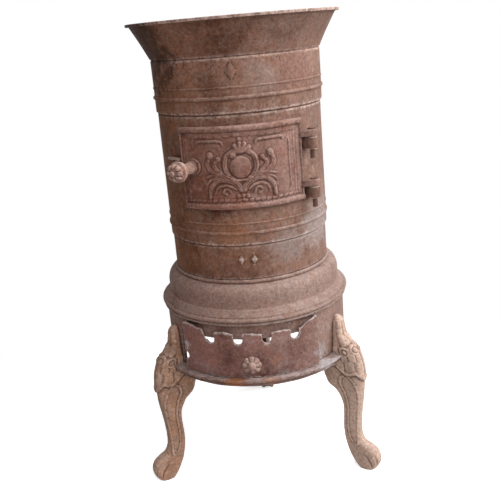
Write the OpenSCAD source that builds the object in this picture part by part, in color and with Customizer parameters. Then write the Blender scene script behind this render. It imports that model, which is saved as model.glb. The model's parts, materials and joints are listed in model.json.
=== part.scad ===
// Small round cast-iron stove on three cabriole legs, millimetres.
// Origin on the floor under the stove's axis, +Z up, the fire door faces -Y.
// Azimuths are counted from the front (-Y) towards +X.

/* [Stack heights] */
// Height of the base ring's underside above the floor
leg_h = 204; // [180:1:260]
// Height of the base ring
base_h = 102; // [90:1:140]
// Height of the bell-shaped skirt
skirt_h = 67; // [60:1:90]
// Height of the lower barrel
lower_h = 57; // [50:1:90]
// Height of the barrel that carries the fire door
door_barrel_h = 203; // [190:1:260]
// Height of the upper barrel
upper_h = 82; // [82:1:120]
// Height of the flared collar
flare_h = 55; // [48:1:80]

/* [Radii] */
// Outer radius of the lower barrel
lower_r = 130.5; // [120:0.5:150]
// How much each barrel grows over the one below it
barrel_step = 2.5; // [1:0.5:4]
// Wall thickness of the barrels
wall = 6; // [5:0.5:8]
// Width of the base ring's wall outside the lower barrel
base_out = 24.5; // [20:0.5:34]
// Width of the shelf in front of the base ring's foot
shelf_w = 20; // [16:1:26]
// Overhang of the flared collar's rim over its seam
flare_out = 33; // [24:1:48]

/* [Fire door] */
// Azimuth of the door's left edge
door_az0 = -40.5; // [-44:0.5:-36]
// Azimuth of the door's right edge
door_az1 = 43.7; // [40:0.1:44]
// Height of the door's lower edge above its barrel's foot
door_up = 60; // [50:1:64]
// Height of the door
door_h = 126.5; // [110:0.5:130]
// How far the door laps over the edge of its opening
door_lap = 10; // [7:0.5:14]
// Thickness of the door's panel
door_t = 4; // [3:0.5:5]
// Height of the raised frame over the panel
frame_t = 2.6; // [1:0.1:4]
// Azimuth of the hinge axis
hinge_az = 49; // [48:0.5:52]
// Distance of the hinge axis outside its barrel
hinge_out = 15; // [14:0.5:20]
// Radius of the hinge pins
pin_r = 4; // [3:0.1:5]
// Radial play of a turning pin or spindle
pin_play = 0.08; // [0.02:0.01:0.1]

/* [Knobs] */
// Azimuth of the door knob
knob_az = -30.4; // [-31:0.1:-28]
// Radius of a knob's head
knob_r = 16.5; // [13:0.5:19]
// Length of the door knob's stem
stem_l = 19; // [12:1:26]
// Radius of the door knob's spindle
spindle_r = 5; // [4:0.5:6]
// Reach of the latch tongue from its spindle
tongue_l = 22; // [20:1:24]

/* [Ash door] */
// Azimuth of the ash door's left edge
ash_az0 = -45.5; // [-47:0.5:-42]
// Azimuth of the ash door's right edge
ash_az1 = 39; // [36:0.5:43]
// Thickness of the ash door
ash_t = 5; // [4:0.5:6]
// Air space between the base ring and the ash door
ash_gap = 5; // [3:0.5:6]
// Radius of the draught notches in the ash door's upper edge
notch_r = 7; // [6:0.5:10]
// Angle between two draught notches
notch_pitch = 16.3; // [15:0.1:17]

/* [Top] */
// Thickness of the top plate and its lids
plate_t = 6; // [5:0.5:8]
// Radius of the large cooking hole
ring_r = 92; // [80:1:105]
// Radius of the small cooking hole
lid_r = 57; // [45:1:65]
// Width of the step that carries a ring or lid
step_w = 5; // [4:0.5:7]

/* [Legs] */
// Width of a leg's tab
leg_w = 27; // [22:1:30]
// Thickness of a leg's outer wall
leg_wall = 7; // [5:0.5:9]
// Radius of the leg bolts
bolt_r = 4; // [3:0.5:5]

/* [Flue] */
// Outer radius of the flue spigot
flue_r = 37.5; // [30:0.5:38]
// Wall thickness of the flue spigot
flue_wall = 4.5; // [4:0.5:6]
// Length of the flue spigot
flue_l = 50; // [35:1:70]

/* [Hidden] */
$fn = 96;

gap = 0.3;            // play between stacked castings
clear = 0.1;          // radial play of a bolt in its hole
eps = 0.1;            // overrun of a cutting shape

z_base = leg_h;
z_skirt = z_base + base_h;
z_lower = z_skirt + skirt_h;
z_door = z_lower + lower_h;
z_upper = z_door + door_barrel_h;
z_flare = z_upper + upper_h;
z_rim = z_flare + flare_h;

door_r = lower_r + barrel_step;
upper_r = door_r + barrel_step;
base_r = lower_r + base_out;
shelf_r = base_r + shelf_w;
flare_r = upper_r + 0.5;
rim_r = flare_r + flare_out;

spigot_t = 3.7;       // thickness of the lip that centres one casting in the next
spigot_h = 6;         // height of that lip above the seam
shelf_t = 5;          // thickness of the shelf
foot_rim_h = 9;       // height of the rim under the shelf
foot_rim_r = base_r + 13;
ledge_r = lower_r + 6.5;          // inner radius of the base ring's floor
rust = "#6b4a40";
rust_dark = "#4c332e";
rust_pale = "#8a6a5e";
rust_leg = "#80604f";
iron = "#574540";

// Outward direction at an azimuth, and the point at a radius there
function out(az) = [sin(az), -cos(az)];
function at(r, az) = r * out(az);

// A plan wedge between two azimuths
module wedge(az0, az1, r, z0, z1) {
    mid = (az0 + az1) / 2;
    translate([0, 0, z0])
        linear_extrude(z1 - z0)
            polygon([[0, 0], at(r, az0), at(r * 1.2, mid), at(r, az1)]);
}

// A rod along the outward direction, from radius r0 to radius r1
module radial_rod(az, z, r, r0, r1, sides = 48) {
    rotate([0, 0, az])
        translate([0, -r0, z])
            rotate([90, 0, 0])
                cylinder(r = r, h = r1 - r0, $fn = sides);
}

// A bar of square section along the outward direction
module radial_bar(az, z, w, h, r0, r1) {
    rotate([0, 0, az])
        translate([-w / 2, -r1, z - h / 2])
            cube([w, r1 - r0, h]);
}

// ---- stacked castings -------------------------------------------------------

module shell(r, z0, z1) {
    bevel = 1.2;
    rotate_extrude()
        polygon([[r - wall, z0], [r - bevel, z0], [r, z0 + bevel],
                 [r, z1], [r - wall, z1]]);
}

module bead(r, z, rad) {
    rotate_extrude()
        translate([r, z])
            circle(r = rad, $fn = 24);
}

// Lip inside the top of a casting; the next casting, of inner radius r_next, drops over it
module spigot(r_next, z) {
    rotate_extrude()
        translate([r_next - gap - spigot_t, z - spigot_h])
            square([spigot_t, 2 * spigot_h]);
}

// The base ring stands on the legs. The shelf between the front legs carries the ash door.
shelf_top = z_base + foot_rim_h + shelf_t;
base_in = base_r - wall;
leg_az = [-60, 60, 180];
leg_slot = leg_w / 2 + 1.5;       // half width of the gaps for the front legs in the shelf
leg_bolt_z = z_base + 46;
ash_open_az0 = ash_az0 - 8;       // the opening starts left of the ash door at rest
ash_open_az1 = ash_az1 - 2.5;
ash_open_z0 = shelf_top + 4;
ash_open_z1 = z_skirt - 23;

// Shelf with a rim under it, open below between the rim and the ring's wall
module base_shelf() {
    root_r = base_in + 1;
    intersection() {
        wedge(leg_az[0], leg_az[1], shelf_r + shelf_w, z_base - eps, shelf_top + eps);
        rotate_extrude()
            polygon([[foot_rim_r - wall, z_base], [foot_rim_r, z_base],
                     [foot_rim_r, z_base + foot_rim_h], [shelf_r, z_base + foot_rim_h],
                     [shelf_r, shelf_top], [root_r, shelf_top], [root_r, z_base + foot_rim_h],
                     [foot_rim_r - wall, z_base + foot_rim_h]]);
    }
}

module base_ring() {
    floor_t = 5;
    color(rust_dark)
        difference() {
            union() {
                rotate_extrude()
                    polygon([[ledge_r, z_base], [base_r, z_base], [base_r, z_skirt],
                             [base_in, z_skirt], [base_in, z_base + floor_t],
                             [ledge_r, z_base + floor_t]]);
                base_shelf();
                rotate_extrude()
                    polygon([[base_in + eps, z_skirt - spigot_h], [base_in - spigot_t, z_skirt - spigot_h],
                             [base_in - spigot_t, z_skirt + spigot_h], [base_in - gap, z_skirt + spigot_h],
                             [base_in - gap, z_skirt - eps], [base_in + eps, z_skirt - eps]]);
            }
            difference() {
                wedge(ash_open_az0, ash_open_az1, base_r + 10, ash_open_z0, ash_open_z1);
                cylinder(r = base_in - 8, h = z_skirt);
            }
            for (az = leg_az) {
                rotate([0, 0, az])
                    translate([-leg_slot, -shelf_r - eps, z_base - eps])
                        cube([leg_slot * 2, shelf_w, shelf_top - z_base + 2 * eps]);
                radial_rod(az, leg_bolt_z, bolt_r + clear, base_in - 8, base_r + 2);
            }
        }
}

// Bell-shaped skirt between the base ring and the barrels
neck_r = lower_r + 0.5;
bell_r = lower_r + 17;

// Quarter ellipse from a vertical side at (r_side, z0) to a flat neck at (r_neck, z1)
function bell(r_side, r_neck, z0, z1, n = 8) =
    [for (i = [0:n]) let (a = 90 * i / n)
        [r_neck + (r_side - r_neck) * cos(a), z0 + (z1 - z0) * sin(a)]];
function reversed(v) = [for (i = [len(v) - 1:-1:0]) v[i]];

module bell_skirt() {
    cornice_z = z_skirt + 12;
    foot_z = z_skirt + 23;
    bell_z0 = z_skirt + 40;
    bell_z1 = z_lower - 6;
    lip_root = 2;         // how far the neck's inner wall closes in to carry the lip
    color(rust_pale) {
        rotate_extrude()
            polygon(concat(
                [[base_in, z_skirt], [base_r + 5, z_skirt], [base_r + 5, z_skirt + 5],
                 [base_r + 3, cornice_z], [bell_r + 2, foot_z - 1], [bell_r, foot_z + 1]],
                bell(bell_r, neck_r, bell_z0, bell_z1),
                [[neck_r, z_lower], [lower_r - wall - lip_root, z_lower]],
                reversed(bell(bell_r - wall, lower_r - wall, bell_z0 - 2, bell_z1 - wall)),
                [[bell_r - wall, foot_z], [base_in, cornice_z]]));
        bead(base_r + 4.5, z_skirt + 8, 2.8);
        bead(neck_r - 0.5, z_lower - 3.2, 3);
        spigot(lower_r - wall, z_lower);
    }
}

// Lower barrel, with a ledge inside that carries the grate
ledge_z = z_lower + 15;
ledge_t = 5;
grate_r = lower_r - wall - 3.5;
grate_t = 8;

module lower_barrel() {
    ledge_w = 10;
    color(rust) {
        shell(lower_r, z_lower, z_door);
        rotate_extrude()
            translate([lower_r - wall - ledge_w, ledge_z])
                square([ledge_w + 1, ledge_t]);
        spigot(door_r - wall, z_door);
    }
}

module grate() {
    slot_w = 9;
    bar_w = 8;
    pitch = slot_w + bar_w;
    hub_w = 12;
    reach = grate_r - 14;
    rows = floor(reach / pitch);
    color(iron)
        translate([0, 0, ledge_z + ledge_t])
            linear_extrude(grate_t)
                difference() {
                    circle(r = grate_r);
                    for (i = [-rows:rows], side = [-1, 1]) {
                        y = i * pitch;
                        half = sqrt(reach * reach - pow(abs(y) + slot_w / 2, 2));
                        if (half > hub_w)
                            translate([side > 0 ? hub_w / 2 : -half, y - slot_w / 2])
                                square([half - hub_w / 2, slot_w]);
                    }
                }
}

// Barrel with the door opening, the lugs of the hinge and a steady ledge beside the knob
door_z0 = z_door + door_up;
door_z1 = door_z0 + door_h;
hinge_r = door_r + hinge_out;
hinge_at = at(hinge_r, hinge_az);
lug_r = 8.5;
lug_h = 19;
arm_h = 11;
upper_arm_z = door_z0 + 96;
lower_arm_z = door_z0 + 19;
arm_z = [upper_arm_z, lower_arm_z];
knob_z = door_z0 + 67;

// Angle that a length spans on a circle
function span(length, r) = length / r * 180 / PI;

module hinge_lug(z_top) {
    root_w = 2 * lug_r - 1.5;
    difference() {
        union() {
            rotate([0, 0, hinge_az])
                translate([-root_w / 2, -hinge_r, z_top - lug_h + 0.5])
                    cube([root_w, hinge_out + wall / 2, lug_h - 1]);
            translate([hinge_at[0], hinge_at[1], z_top - lug_h])
                cylinder(r = lug_r, h = lug_h);
        }
        translate([hinge_at[0], hinge_at[1], z_top - lug_h - eps])
            cylinder(r = pin_r + pin_play, h = lug_h + 2 * eps);
    }
}

module door_barrel() {
    lap = span(door_lap, door_r);
    ledge_out = 8;
    color(rust) {
        difference() {
            shell(door_r, z_door, z_upper);
            wedge(door_az0 + lap, door_az1 - lap, door_r + 10, door_z0 + door_lap,
                  door_z1 - door_lap);
        }
        bead(door_r - 0.6, z_door + 20, 2.7);
        bead(door_r - 0.8, z_door + 35, 1.8);
        spigot(upper_r - wall, z_upper);
        for (z = arm_z)
            hinge_lug(z);
        intersection() {
            wedge(door_az0 - 13.5, door_az0 - 1.5, door_r + 20, knob_z + 8, knob_z + 12);
            difference() {
                cylinder(r = door_r + ledge_out, h = z_upper);
                cylinder(r = door_r - 2, h = z_upper);
            }
        }
    }
}

// Upper barrel, with a flat pad at the back for the flue collar
flue_z = z_upper + upper_h / 2;
pad_y = upper_r + 5.5;
flue_bolt_x = flue_r + 11;
flange_half_w = flue_bolt_x + 9;
flange_half_h = min(flue_r + 2, upper_h / 2 - 2);
flue_hole_r = flue_r - flue_wall;

module upper_barrel() {
    blind = 14;
    color(rust)
        difference() {
            union() {
                shell(upper_r, z_upper, z_flare);
                bead(upper_r - 0.4, z_upper + 23, 2.9);
                bead(upper_r - 0.8, z_upper + 38, 1.8);
                spigot(flare_r - wall, z_flare);
                difference() {
                    translate([-flange_half_w, 0, flue_z - flange_half_h])
                        cube([2 * flange_half_w, pad_y, 2 * flange_half_h]);
                    cylinder(r = upper_r - 2, h = z_rim);
                }
            }
            translate([0, 0, flue_z])
                rotate([-90, 0, 0])
                    cylinder(r = flue_hole_r, h = pad_y + 1);
            for (side = [-1, 1])
                translate([side * flue_bolt_x, pad_y - blind, flue_z])
                    rotate([-90, 0, 0])
                        cylinder(r = bolt_r + clear, h = blind + 1);
        }
}

// Flared collar, with a rebate inside its rim for the top plate
plate_z = z_rim - plate_t - 7;
seat_r = flare_r + flare_out * 0.53;

module flared_collar() {
    rim_t = 4;
    rim_lip = 5.5;
    seat_w = 10;
    seat_t = 5;
    inner_r = flare_r - wall;
    color(rust)
        rotate_extrude()
            polygon([[inner_r, z_flare], [flare_r, z_flare], [rim_r - rim_lip, z_rim - rim_t],
                     [rim_r, z_rim - rim_t], [rim_r, z_rim], [seat_r + 6, z_rim],
                     [seat_r, z_rim - 5], [seat_r, plate_z], [seat_r - seat_w, plate_z],
                     [seat_r - seat_w, plate_z - seat_t], [seat_r - seat_w + 4, plate_z - seat_t - 4]]);
}

// ---- top --------------------------------------------------------------------

module stepped_disc(r, z, hole) {
    half = plate_t / 2;
    rotate_extrude()
        polygon(hole > 0
            ? [[hole - step_w, z], [r - step_w, z], [r - step_w, z + half], [r, z + half],
               [r, z + plate_t], [hole, z + plate_t], [hole, z + half], [hole - step_w, z + half]]
            : [[0, z], [r - step_w, z], [r - step_w, z + half], [r, z + half],
               [r, z + plate_t], [0, z + plate_t]]);
}

module top_plate() {
    half = plate_t / 2;
    r = seat_r - gap;
    color(rust_dark)
        rotate_extrude()
            polygon([[ring_r - step_w, plate_z], [r, plate_z], [r, plate_z + plate_t],
                     [ring_r, plate_z + plate_t], [ring_r, plate_z + half],
                     [ring_r - step_w, plate_z + half]]);
}

module lid_ring() {
    color(rust_dark)
        stepped_disc(ring_r - gap, plate_z, lid_r);
}

// Lid with a small bridge for the lifting hook
bridge_l = 34;
bridge_h = 8.5;

module lid() {
    post = 6;
    bar_w = 8;
    bar_t = 3;
    top = plate_z + plate_t;
    color(rust_dark) {
        stepped_disc(lid_r - gap, plate_z, 0);
        difference() {
            translate([-bridge_l / 2, -bar_w / 2, top - eps])
                cube([bridge_l, bar_w, bridge_h + eps]);
            translate([post - bridge_l / 2, -bar_w, top])
                cube([bridge_l - 2 * post, 2 * bar_w, bridge_h - bar_t]);
        }
    }
}

// ---- legs -------------------------------------------------------------------

// Smooth curve through points, n steps from each to the next
function spline(p, n = 4) = concat(
    [for (i = [0:len(p) - 2], k = [0:n - 1])
        let (t = k / n,
             a = p[max(i - 1, 0)], b = p[i], c = p[i + 1], d = p[min(i + 2, len(p) - 1)])
        0.5 * (2 * b + (c - a) * t + (2 * a - 5 * b + 4 * c - d) * t * t
               + (3 * b - a - 3 * c + d) * t * t * t)],
    [p[len(p) - 1]]);

// Outer line of the leg from the tab's tip to the toe, as distance from the base ring's wall
// and height over the leg's length
function leg_point(p) = [base_r + gap + p[0], p[1] * leg_h / 204];
tab_top = 283;
outer_line = spline([for (p = [[8, tab_top - 3], [13, 270], [16, 252], [26, 241], [39, 222], [47, 198],
    [49, 168], [45.5, 128], [41.5, 95], [41, 68], [46, 52], [58, 45], [70, 37], [75, 23], [71, 8],
    [60, 0]]) leg_point(p)], 3);
inner_line = spline([for (p = [[44, 0], [35, 8], [26, 22], [18, 40], [13, 62], [11.5, 84], [13.5, 108],
    [12, 128], [6, 142], [-4, 152], [-14, 160], [-20, 170], [-22, 184]]) leg_point(p)], 3);

// Half width of the leg at each height
width_line = spline([for (p = [[4, tab_top], [9, 274], [leg_w / 2 - 1, 258], [leg_w / 2, 236],
    [leg_w / 2 + 1, 214], [leg_w / 2 + 0.5, 196], [14, 165], [13, 130], [11.5, 96], [11, 66],
    [12, 46], [13.5, 28], [13.5, 12], [11, 0]]) [p[0], p[1] * leg_h / 204]], 3);

module leg_section(inner, outer) {
    polygon(concat(outer, inner, [[inner[len(inner) - 1][0], leg_h],
                                  [base_r + gap, leg_h], [base_r + gap, outer[0][1]]]));
}

// A leg casting in the plane x = 0 facing -Y: solid outline, hollow at the back
module leg() {
    half = leg_w;
    channel_w = 12;
    color(rust_leg)
        difference() {
            intersection() {
                rotate([90, 0, -90])
                    translate([0, 0, -half])
                        linear_extrude(2 * half)
                            leg_section(inner_line, outer_line);
                rotate([90, 0, 0])
                    linear_extrude(base_r * 2)
                        polygon(concat(width_line, reversed([for (p = width_line) [-p[0], p[1]]])));
            }
            intersection() {
                rotate([90, 0, -90])
                    translate([0, 0, -channel_w / 2])
                        linear_extrude(channel_w)
                            polygon(concat([for (p = outer_line) [p[0] - leg_wall, p[1]]],
                                           [[base_r - shelf_w * 2, 0],
                                            [base_r - shelf_w * 2, outer_line[0][1]]]));
                translate([-half, -base_r * 2, 18 * leg_h / 204])
                    cube([2 * half, base_r * 2, (190 - 18) * leg_h / 204]);
            }
            radial_rod(0, leg_bolt_z, bolt_r + clear, base_r - 5, base_r + 9);
        }
}

module leg_left() {
    rotate([0, 0, leg_az[0]])
        leg();
}

module leg_right() {
    rotate([0, 0, leg_az[1]])
        leg();
}

module leg_rear() {
    rotate([0, 0, leg_az[2]])
        leg();
}

module leg_bolts() {
    head_w = 13;
    head_h = 6;
    seat = base_in - 0.35;
    color(iron)
        for (az = leg_az) {
            radial_bar(az, leg_bolt_z, head_w, head_w, seat - head_h, seat);
            radial_rod(az, leg_bolt_z, bolt_r, seat - 1, base_r + 8, 32);
        }
}

// ---- flue -------------------------------------------------------------------

module flue_collar() {
    flange_t = 6;
    seat = pad_y + 0.2;
    color(rust_dark)
        difference() {
            union() {
                translate([-flange_half_w, seat, flue_z - flange_half_h])
                    cube([2 * flange_half_w, flange_t, 2 * flange_half_h]);
                translate([0, seat, flue_z])
                    rotate([-90, 0, 0])
                        cylinder(r = flue_r, h = flange_t + flue_l);
            }
            translate([0, seat - 1, flue_z])
                rotate([-90, 0, 0])
                    cylinder(r = flue_hole_r, h = flange_t + flue_l + 2);
            for (side = [-1, 1])
                translate([side * flue_bolt_x, seat - 1, flue_z])
                    rotate([-90, 0, 0])
                        cylinder(r = bolt_r + clear, h = flange_t + 2);
        }
}

module flue_bolts() {
    seat = pad_y + 0.2 + 6;
    color(iron)
        for (side = [-1, 1])
            translate([side * flue_bolt_x, seat, flue_z])
                rotate([-90, 0, 0]) {
                    cylinder(r = 7, h = 5, $fn = 6);
                    translate([0, 0, -16])
                        cylinder(r = bolt_r, h = 17, $fn = 32);
                }
}

// ---- fire door --------------------------------------------------------------

door_in = door_r + 0.4;
door_face = door_in + door_t;
door_out = door_face + frame_t;
boss_out = door_out + 7;
boss_in = door_r - wall - 3.5;
frame_w = 8.5;
oval_az = (door_az0 + door_az1) / 2;
arm_r = 9;

module door_plate() {
    intersection() {
        wedge(door_az0, door_az1, door_out + 10, door_z0, door_z1);
        rotate_extrude()
            polygon([[door_in, door_z0], [door_out, door_z0], [door_out, door_z0 + frame_w],
                     [door_face, door_z0 + frame_w + 1.5], [door_face, door_z1 - frame_w - 1.5],
                     [door_out, door_z1 - frame_w], [door_out, door_z1], [door_in, door_z1]]);
    }
    for (side = [[door_az0, door_az0 + span(frame_w, door_r)],
                 [door_az1 - span(frame_w, door_r), door_az1]])
        intersection() {
            wedge(side[0], side[1], door_out + 10, door_z0, door_z1);
            difference() {
                cylinder(r = door_out, h = door_z1);
                cylinder(r = door_in, h = door_z1);
            }
        }
}

// Arm from the door's edge out to the hinge axis
module hinge_arm(z) {
    root = door_az1 - 5;
    translate([0, 0, z + 0.3])
        linear_extrude(arm_h)
            polygon([at(door_in + 0.6, root), at(door_out, root),
                     hinge_at + arm_r * out(hinge_az - 42), hinge_at,
                     hinge_at - arm_r * out(hinge_az + 8)]);
    translate([hinge_at[0], hinge_at[1], z + 0.3])
        cylinder(r = arm_r, h = arm_h);
}

module fire_door() {
    color(rust)
        difference() {
            union() {
                door_plate();
                for (z = arm_z)
                    hinge_arm(z);
                radial_rod(knob_az, knob_z, 13, door_in + 1, door_out + 1.5);
                radial_rod(knob_az, knob_z, 10, boss_in, boss_out);
                radial_rod(oval_az, (door_z0 + door_z1) / 2 + 2, 19, door_in + 1, door_out + 1.5);
            }
            for (z = arm_z)
                translate([hinge_at[0], hinge_at[1], z - 1])
                    cylinder(r = pin_r + 0.05, h = arm_h + 2);
            radial_rod(knob_az, knob_z, spindle_r + pin_play, boss_in - 2, boss_out + 2);
        }
}

// Pin with a low head on the arm and a tail that hangs below the lug
module hinge_pin(z_arm) {
    tail = 14;
    head_h = 2;
    color(iron)
        translate([hinge_at[0], hinge_at[1], 0]) {
            translate([0, 0, z_arm - lug_h - tail])
                cylinder(r = pin_r, h = lug_h + tail + 0.3 + arm_h + 0.5);
            translate([0, 0, z_arm + 0.3 + arm_h])
                cylinder(r = pin_r + 2, h = head_h);
        }
}

module hinge_pin_upper() {
    hinge_pin(upper_arm_z);
}

module hinge_pin_lower() {
    hinge_pin(lower_arm_z);
}

// Knob with a stem, turning in the door's boss; its spindle carries the latch tongue
tongue_t = 4;
nut_t = 6;
stem_r = 9.5;
knob_seat = boss_out + 0.2;
tongue_out = boss_in - 0.3;

module door_knob() {
    ball = knob_seat + stem_l + knob_r * 0.8;
    color(rust_pale) {
        radial_rod(knob_az, knob_z, spindle_r, tongue_out - tongue_t - nut_t - 2, knob_seat + 1);
        radial_rod(knob_az, knob_z, stem_r, knob_seat, ball);
        translate([ball * out(knob_az)[0], ball * out(knob_az)[1], knob_z])
            sphere(r = knob_r, $fn = 64);
    }
}

// The tongue hangs down beside the opening when the door is unlatched
module latch_tongue() {
    hub_r = 9;
    tongue_w = 11;
    inner = tongue_out - tongue_t;
    color(iron)
        difference() {
            union() {
                radial_rod(knob_az, knob_z, hub_r, inner, tongue_out);
                rotate([0, 0, knob_az])
                    translate([-tongue_w / 2, -tongue_out, knob_z - tongue_l])
                        cube([tongue_w, tongue_t, tongue_l]);
            }
            radial_rod(knob_az, knob_z, spindle_r + 0.05, inner - 1, tongue_out + 1, 96);
        }
}

module latch_nut() {
    nut_w = 15;
    seat = tongue_out - tongue_t - 0.1;
    color(iron)
        difference() {
            radial_bar(knob_az, knob_z, nut_w, nut_w, seat - nut_t, seat);
            radial_rod(knob_az, knob_z, spindle_r + 0.05, seat - nut_t - 1, seat + 1, 96);
        }
}

// ---- ash door ---------------------------------------------------------------

ash_in = base_r + ash_gap;
ash_out = ash_in + ash_t;
ash_z0 = shelf_top + gap;
ash_z1 = z_skirt - 2;
notch_z = z_skirt - 22;
ash_knob_az = -2;
ash_knob_z = ash_z0 + 23;

module ash_door() {
    rib = 4;
    rib_gap = 0.6;
    lock_r = 6.5;
    color(rust_dark)
        difference() {
            intersection() {
                wedge(ash_az0, ash_az1, ash_out + 10, ash_z0, ash_z1 + 1);
                difference() {
                    cylinder(r = ash_out, h = ash_z1);
                    difference() {
                        cylinder(r = ash_in, h = ash_z1 + 1);
                        ash_ribs(rib, rib_gap);
                    }
                    cylinder(r = base_r + rib_gap, h = ash_z1 + 1);
                }
            }
            broken_top();
            for (i = [-1.5:1:1.5])
                ash_notch(ash_knob_az + 1.2 + i * notch_pitch);
            radial_rod(ash_az0 + 0.6, ash_z0 + 25, lock_r, base_r - 10, ash_out + 5);
            radial_rod(ash_knob_az, ash_knob_z, bolt_r + 0.05, base_r, ash_out + 5);
        }
}

// Ribs on the ash door's back, along its ends and its foot
module ash_ribs(rib, rib_gap) {
    end = span(rib, base_r);
    wedge(ash_az0 - 1, ash_az0 + end, ash_out + 10, ash_z0, ash_z1);
    wedge(ash_az1 - end, ash_az1 + 1, ash_out + 10, ash_z0, ash_z1);
    translate([0, 0, ash_z0])
        cylinder(r = ash_in + 1, h = rib);
}

// U-shaped draught notch
module ash_notch(az) {
    radial_rod(az, notch_z, notch_r, base_r - 5, ash_out + 5);
    rotate([0, 0, az])
        translate([-notch_r, -ash_out - 5, notch_z])
            cube([2 * notch_r, ash_t + ash_gap + 10, 40]);
}

// Upper edge of the ash door, worn and chipped unevenly, seen from the front
module broken_top() {
    top = z_skirt + 20;
    r = ash_out;
    rotate([90, 0, 0])
        linear_extrude(r + 5)
            polygon([[-r, top], [-r, ash_z1 - 4], [-0.61 * r, ash_z1 - 1], [-0.56 * r, ash_z1 - 5],
                     [-0.5 * r, ash_z1 - 6], [-0.47 * r, ash_z1 - 24], [-0.38 * r, ash_z1 - 8],
                     [-0.28 * r, ash_z1 - 7], [-0.2 * r, ash_z1 - 10], [-0.02 * r, ash_z1 - 9],
                     [0.1 * r, ash_z1 - 12], [0.24 * r, ash_z1 - 9], [0.33 * r, ash_z1 - 10],
                     [0.45 * r, ash_z1 - 12], [0.5 * r, ash_z1 - 6], [0.6 * r, ash_z1], [r, ash_z1],
                     [r, top]]);
}

module ash_knob() {
    rose_t = 5;
    color(rust_dark) {
        radial_rod(ash_knob_az, ash_knob_z, bolt_r, ash_in - 9, ash_out + 2);
        radial_rod(ash_knob_az, ash_knob_z, knob_r, ash_out + 0.1, ash_out + rose_t);
        intersection() {
            radial_rod(ash_knob_az, ash_knob_z, knob_r - 3, ash_out + 1, ash_out + 14);
            translate([at(ash_out - 5, ash_knob_az)[0], at(ash_out - 5, ash_knob_az)[1], ash_knob_z])
                sphere(r = knob_r, $fn = 64);
        }
    }
}

module ash_knob_nut() {
    nut_w = 13;
    nut_h = 5;
    seat = ash_in - 0.4;
    color(iron)
        difference() {
            radial_bar(ash_knob_az, ash_knob_z, nut_w, nut_w, seat - nut_h, seat);
            radial_rod(ash_knob_az, ash_knob_z, bolt_r + 0.05, seat - nut_h - 1, seat + 1);
        }
}

base_ring();
bell_skirt();
lower_barrel();
grate();
door_barrel();
upper_barrel();
flared_collar();
top_plate();
lid_ring();
lid();
leg_left();
leg_right();
leg_rear();
leg_bolts();
flue_collar();
flue_bolts();
fire_door();
hinge_pin_upper();
hinge_pin_lower();
door_knob();
latch_tongue();
latch_nut();
ash_door();
ash_knob();
ash_knob_nut();
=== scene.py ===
"""Looks of a small rusty cast-iron stove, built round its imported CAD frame. Lengths in metres."""
import json
import math

import bmesh
import bpy
import numpy as np
from mathutils import Matrix, Vector


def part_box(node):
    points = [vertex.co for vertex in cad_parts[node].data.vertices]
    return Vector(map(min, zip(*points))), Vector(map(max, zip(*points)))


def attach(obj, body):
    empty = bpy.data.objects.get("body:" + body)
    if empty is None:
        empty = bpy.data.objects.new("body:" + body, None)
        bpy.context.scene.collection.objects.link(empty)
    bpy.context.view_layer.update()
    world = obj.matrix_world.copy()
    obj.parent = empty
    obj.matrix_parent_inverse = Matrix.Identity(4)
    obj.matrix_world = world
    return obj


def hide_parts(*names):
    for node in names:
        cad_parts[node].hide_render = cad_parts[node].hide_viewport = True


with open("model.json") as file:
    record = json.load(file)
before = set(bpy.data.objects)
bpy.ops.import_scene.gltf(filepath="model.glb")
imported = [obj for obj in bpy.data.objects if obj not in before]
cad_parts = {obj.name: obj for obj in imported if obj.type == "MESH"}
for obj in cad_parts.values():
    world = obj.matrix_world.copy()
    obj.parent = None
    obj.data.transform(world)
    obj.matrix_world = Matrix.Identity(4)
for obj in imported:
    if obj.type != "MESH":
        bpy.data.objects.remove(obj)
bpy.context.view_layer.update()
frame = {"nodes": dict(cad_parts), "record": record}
MM = 0.001

# Heights and radii read from the frame
CASTINGS = ("base_ring", "bell_skirt", "lower_barrel", "door_barrel", "upper_barrel", "flared_collar")
Z_BASE, Z_SKIRT, Z_LOWER, Z_DOOR, Z_UPPER, Z_FLARE = (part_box(node)[0].z for node in CASTINGS)
Z_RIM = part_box("flared_collar")[1].z
RIM_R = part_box("flared_collar")[1].x
SHELF_R = -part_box("base_ring")[0].y
LOWER_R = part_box("lower_barrel")[1].x

# Driving sizes of the castings
WALL = 6 * MM
STEP = 2.5 * MM
SHELF_W = 20 * MM
SHELF_H = 14 * MM
FOOT_RIM = 9 * MM
DOOR_R = LOWER_R + STEP
UPPER_R = DOOR_R + STEP
FLARE_R = UPPER_R + 0.5 * MM
BASE_R = SHELF_R - SHELF_W
SHELF_TOP = Z_BASE + SHELF_H
FLUE_Z = (Z_UPPER + Z_FLARE) / 2
SOOT_IN = 3 * MM            # how far inside a barrel's face its soot starts

# Azimuths in degrees: legs, ends of the ash mouth, each end of the shelf, draught notches
LEG_AZ = (-60, 60, 180)
ASH_AZ = (-53.5, 36.5)
SHELF_AZ = 54.8
NOTCH_AZ = (-25.3, -8.9, 7.4, 23.7)


# ---- small geometry helpers ----

def out(az):
    """Outward direction at an azimuth in degrees, 0 at the front (-Y), towards +X."""
    a = np.radians(az)
    return np.sin(a), -np.cos(a)


def ring_xyz(r, az, z):
    """Points at radius r, azimuth az (degrees) and height z, broadcast together."""
    s, c = out(az)
    r, s, c, z = np.broadcast_arrays(r, s, c, z)
    return np.stack((r * s, r * c, z), axis=-1)


def smoothstep(x, lo, hi):
    """0 below lo and 1 above hi, with a soft step between them."""
    t = np.clip((x - lo) / (hi - lo), 0, 1)
    return t * t * (3 - 2 * t)


def bump(distance, width, height):
    """Height of a rounded ridge or knob at a distance from its middle."""
    return height * np.sqrt(np.clip(1 - (distance / width) ** 2, 0, 1))


HASH_PRIMES = (73856093, 19349663, 83492791, 2654435761)
HASH_MASK = 0x7FFFFFFF


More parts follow.
